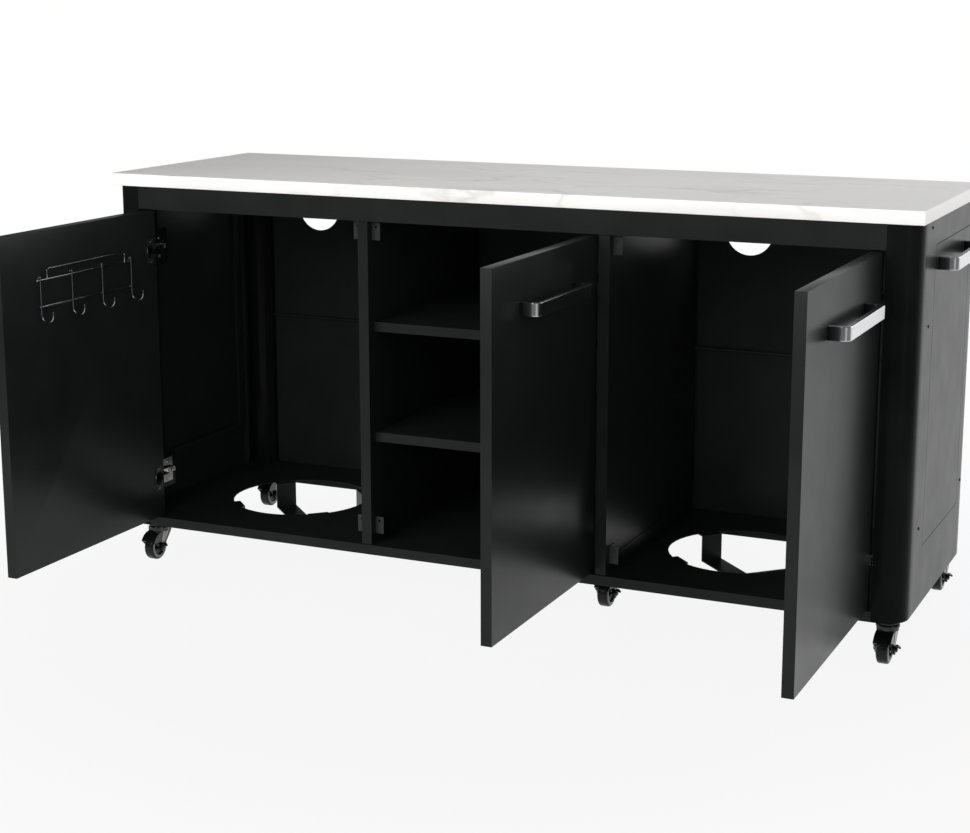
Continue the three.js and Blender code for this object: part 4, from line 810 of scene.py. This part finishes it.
for door, (pin_x, side) in PINS.items():
    for level_name, z in HINGE_HEIGHTS.items():
        inward = (-side, 0, 0)
        cups = [
            turned(at(pin_x - side * CUP_SCREW_IN, CUP_SCREW_Y, z + dz), inward, PAN, 20)
            for dz in (-CUP_SCREW_RISE, CUP_SCREW_RISE)
        ]
        label = f"{door}_door_{level_name}"
        skin(f"{label}_cup_screws", cups, nickel, f"{door}_door_leaf")
        arm_x = pin_x + side * ARM_OUT
        middle = np.array([at(arm_x - side * COVER_SINK * (size - 1), y, z) for y, size in COVER])
        out = np.array([[-side * COVER_HALF_WIDE * size, 0, 0] for size in COVER[:, 1]])
        up = np.array([[0, 0, COVER_HALF_TALL * size] for size in COVER[:, 1]])
        cover = lofted(middle, out, up, unit_oblong(0.22))
        wing = [
            turned(at(pin_x + side * WING_SCREW_OUT, WING_SCREW_Y, z + dz), inward, PAN, 20)
            for dz in (-WING_SCREW_RISE, WING_SCREW_RISE)
        ]
        depth_screw = turned(at(arm_x - side * DEPTH_SCREW_IN, DEPTH_SCREW_Y, z), inward, PAN, 20)
        plated = [cover, *wing, depth_screw]
        skin(f"{label}_arm_cover", plated, zinc_plate, "cabinet", crisp=True)
        ends = np.array([at(arm_x, y, z) for y in MOUTH_ENDS])
        wide = np.tile([MOUTH_HALF_WIDE, 0, 0], (len(ends), 1))
        high = np.tile([0, 0, MOUTH_HALF_TALL], (len(ends), 1))
        mouth = lofted(ends, wide, high, unit_oblong(0.3))
        skin(f"{label}_arm_mouth", [mouth], cast_zinc, "cabinet")
print(2 * len(PINS), "hinges")

# %% [markdown]
# Side panels, covers and back panels are held by low, domed screws. Each one is a small
# turned cap, with the drive recess left as a shallow dimple.

# %% Panel screws
CAP = [(-0.2, 3.4), (0.3, 3.6), (1.0, 3.2), (1.6, 2.2), (1.75, 1.3), (1.2, 1.1), (0.9, 0.3)]
SIDE_SCREWS = [(109, 876), (109, 679), (109, 262), (541, 743), (541, 262)]
BACK_SCREWS = [(x, z) for x in (-840, 0, 840) for z in (868, 640, 560, 130)]
for side, side_name in ((-1, "left"), (1, "right")):
    caps = [turned(at(side * HALF_WIDTH, y, z), (side, 0, 0), CAP, 20) for y, z in SIDE_SCREWS]
    skin(f"{side_name}_side_screws", caps, powder_coat, "cabinet")
caps = [turned(at(x, DEPTH, z), (0, 1, 0), CAP, 20) for x, z in BACK_SCREWS]
skin("back_screws", caps, powder_coat, "cabinet")
print(2 * len(SIDE_SCREWS) + len(BACK_SCREWS), "panel screws")

# %% [markdown]
# The floor is a plain pale sheet. To the camera and in reflections it is nearly white, and it
# keeps the island's shadow because the shadow is part of the light that it receives.

# %% The floor
FLOOR_RADIUS, FLOOR_SIDES = 2.8, 96
turn = np.linspace(0, 2 * np.pi, FLOOR_SIDES, endpoint=False)
edge = np.stack([FLOOR_RADIUS * np.cos(turn), FLOOR_RADIUS * np.sin(turn), 0 * turn], 1)
floor_mesh = bpy.data.meshes.new("studio_floor")
floor_mesh.from_pydata(edge.tolist(), [], [list(range(FLOOR_SIDES))])
floor = bpy.data.objects.new("studio_floor", floor_mesh)
floor_paint, tree, shader = start("studio_floor_paint", "#a4a4a4", 0.9)
light_path = add(tree, "ShaderNodeLightPath")
plain = add(tree, "ShaderNodeEmission")
place = add(tree, "ShaderNodeTexCoord")
away = add(tree, "ShaderNodeVectorMath", [(0, place, "Object")], operation="LENGTH")
fade = add(tree, "ShaderNodeMapRange", [("Value", away, "Value")], span(0.9, 1.0, 0.9, 2.4))
seen_links = [(0, light_path, "Is Camera Ray"), (1, light_path, "Is Glossy Ray")]
seen = add(tree, "ShaderNodeMath", seen_links, operation="MAXIMUM")
share = add(tree, "ShaderNodeMath", [(0, seen, "Value"), (1, fade, "Result")], operation="MULTIPLY")
mixed_links = [(0, share, "Value"), (1, shader, "BSDF"), (2, plain, "Emission")]
mixed = add(tree, "ShaderNodeMixShader", mixed_links)
tree.links.new(mixed.outputs[0], tree.nodes["Material Output"].inputs["Surface"])
floor_mesh.materials.append(floor_paint)
scene.collection.objects.link(floor)
print("floor at z = 0")

# %% [markdown]

# %% The json module
import json
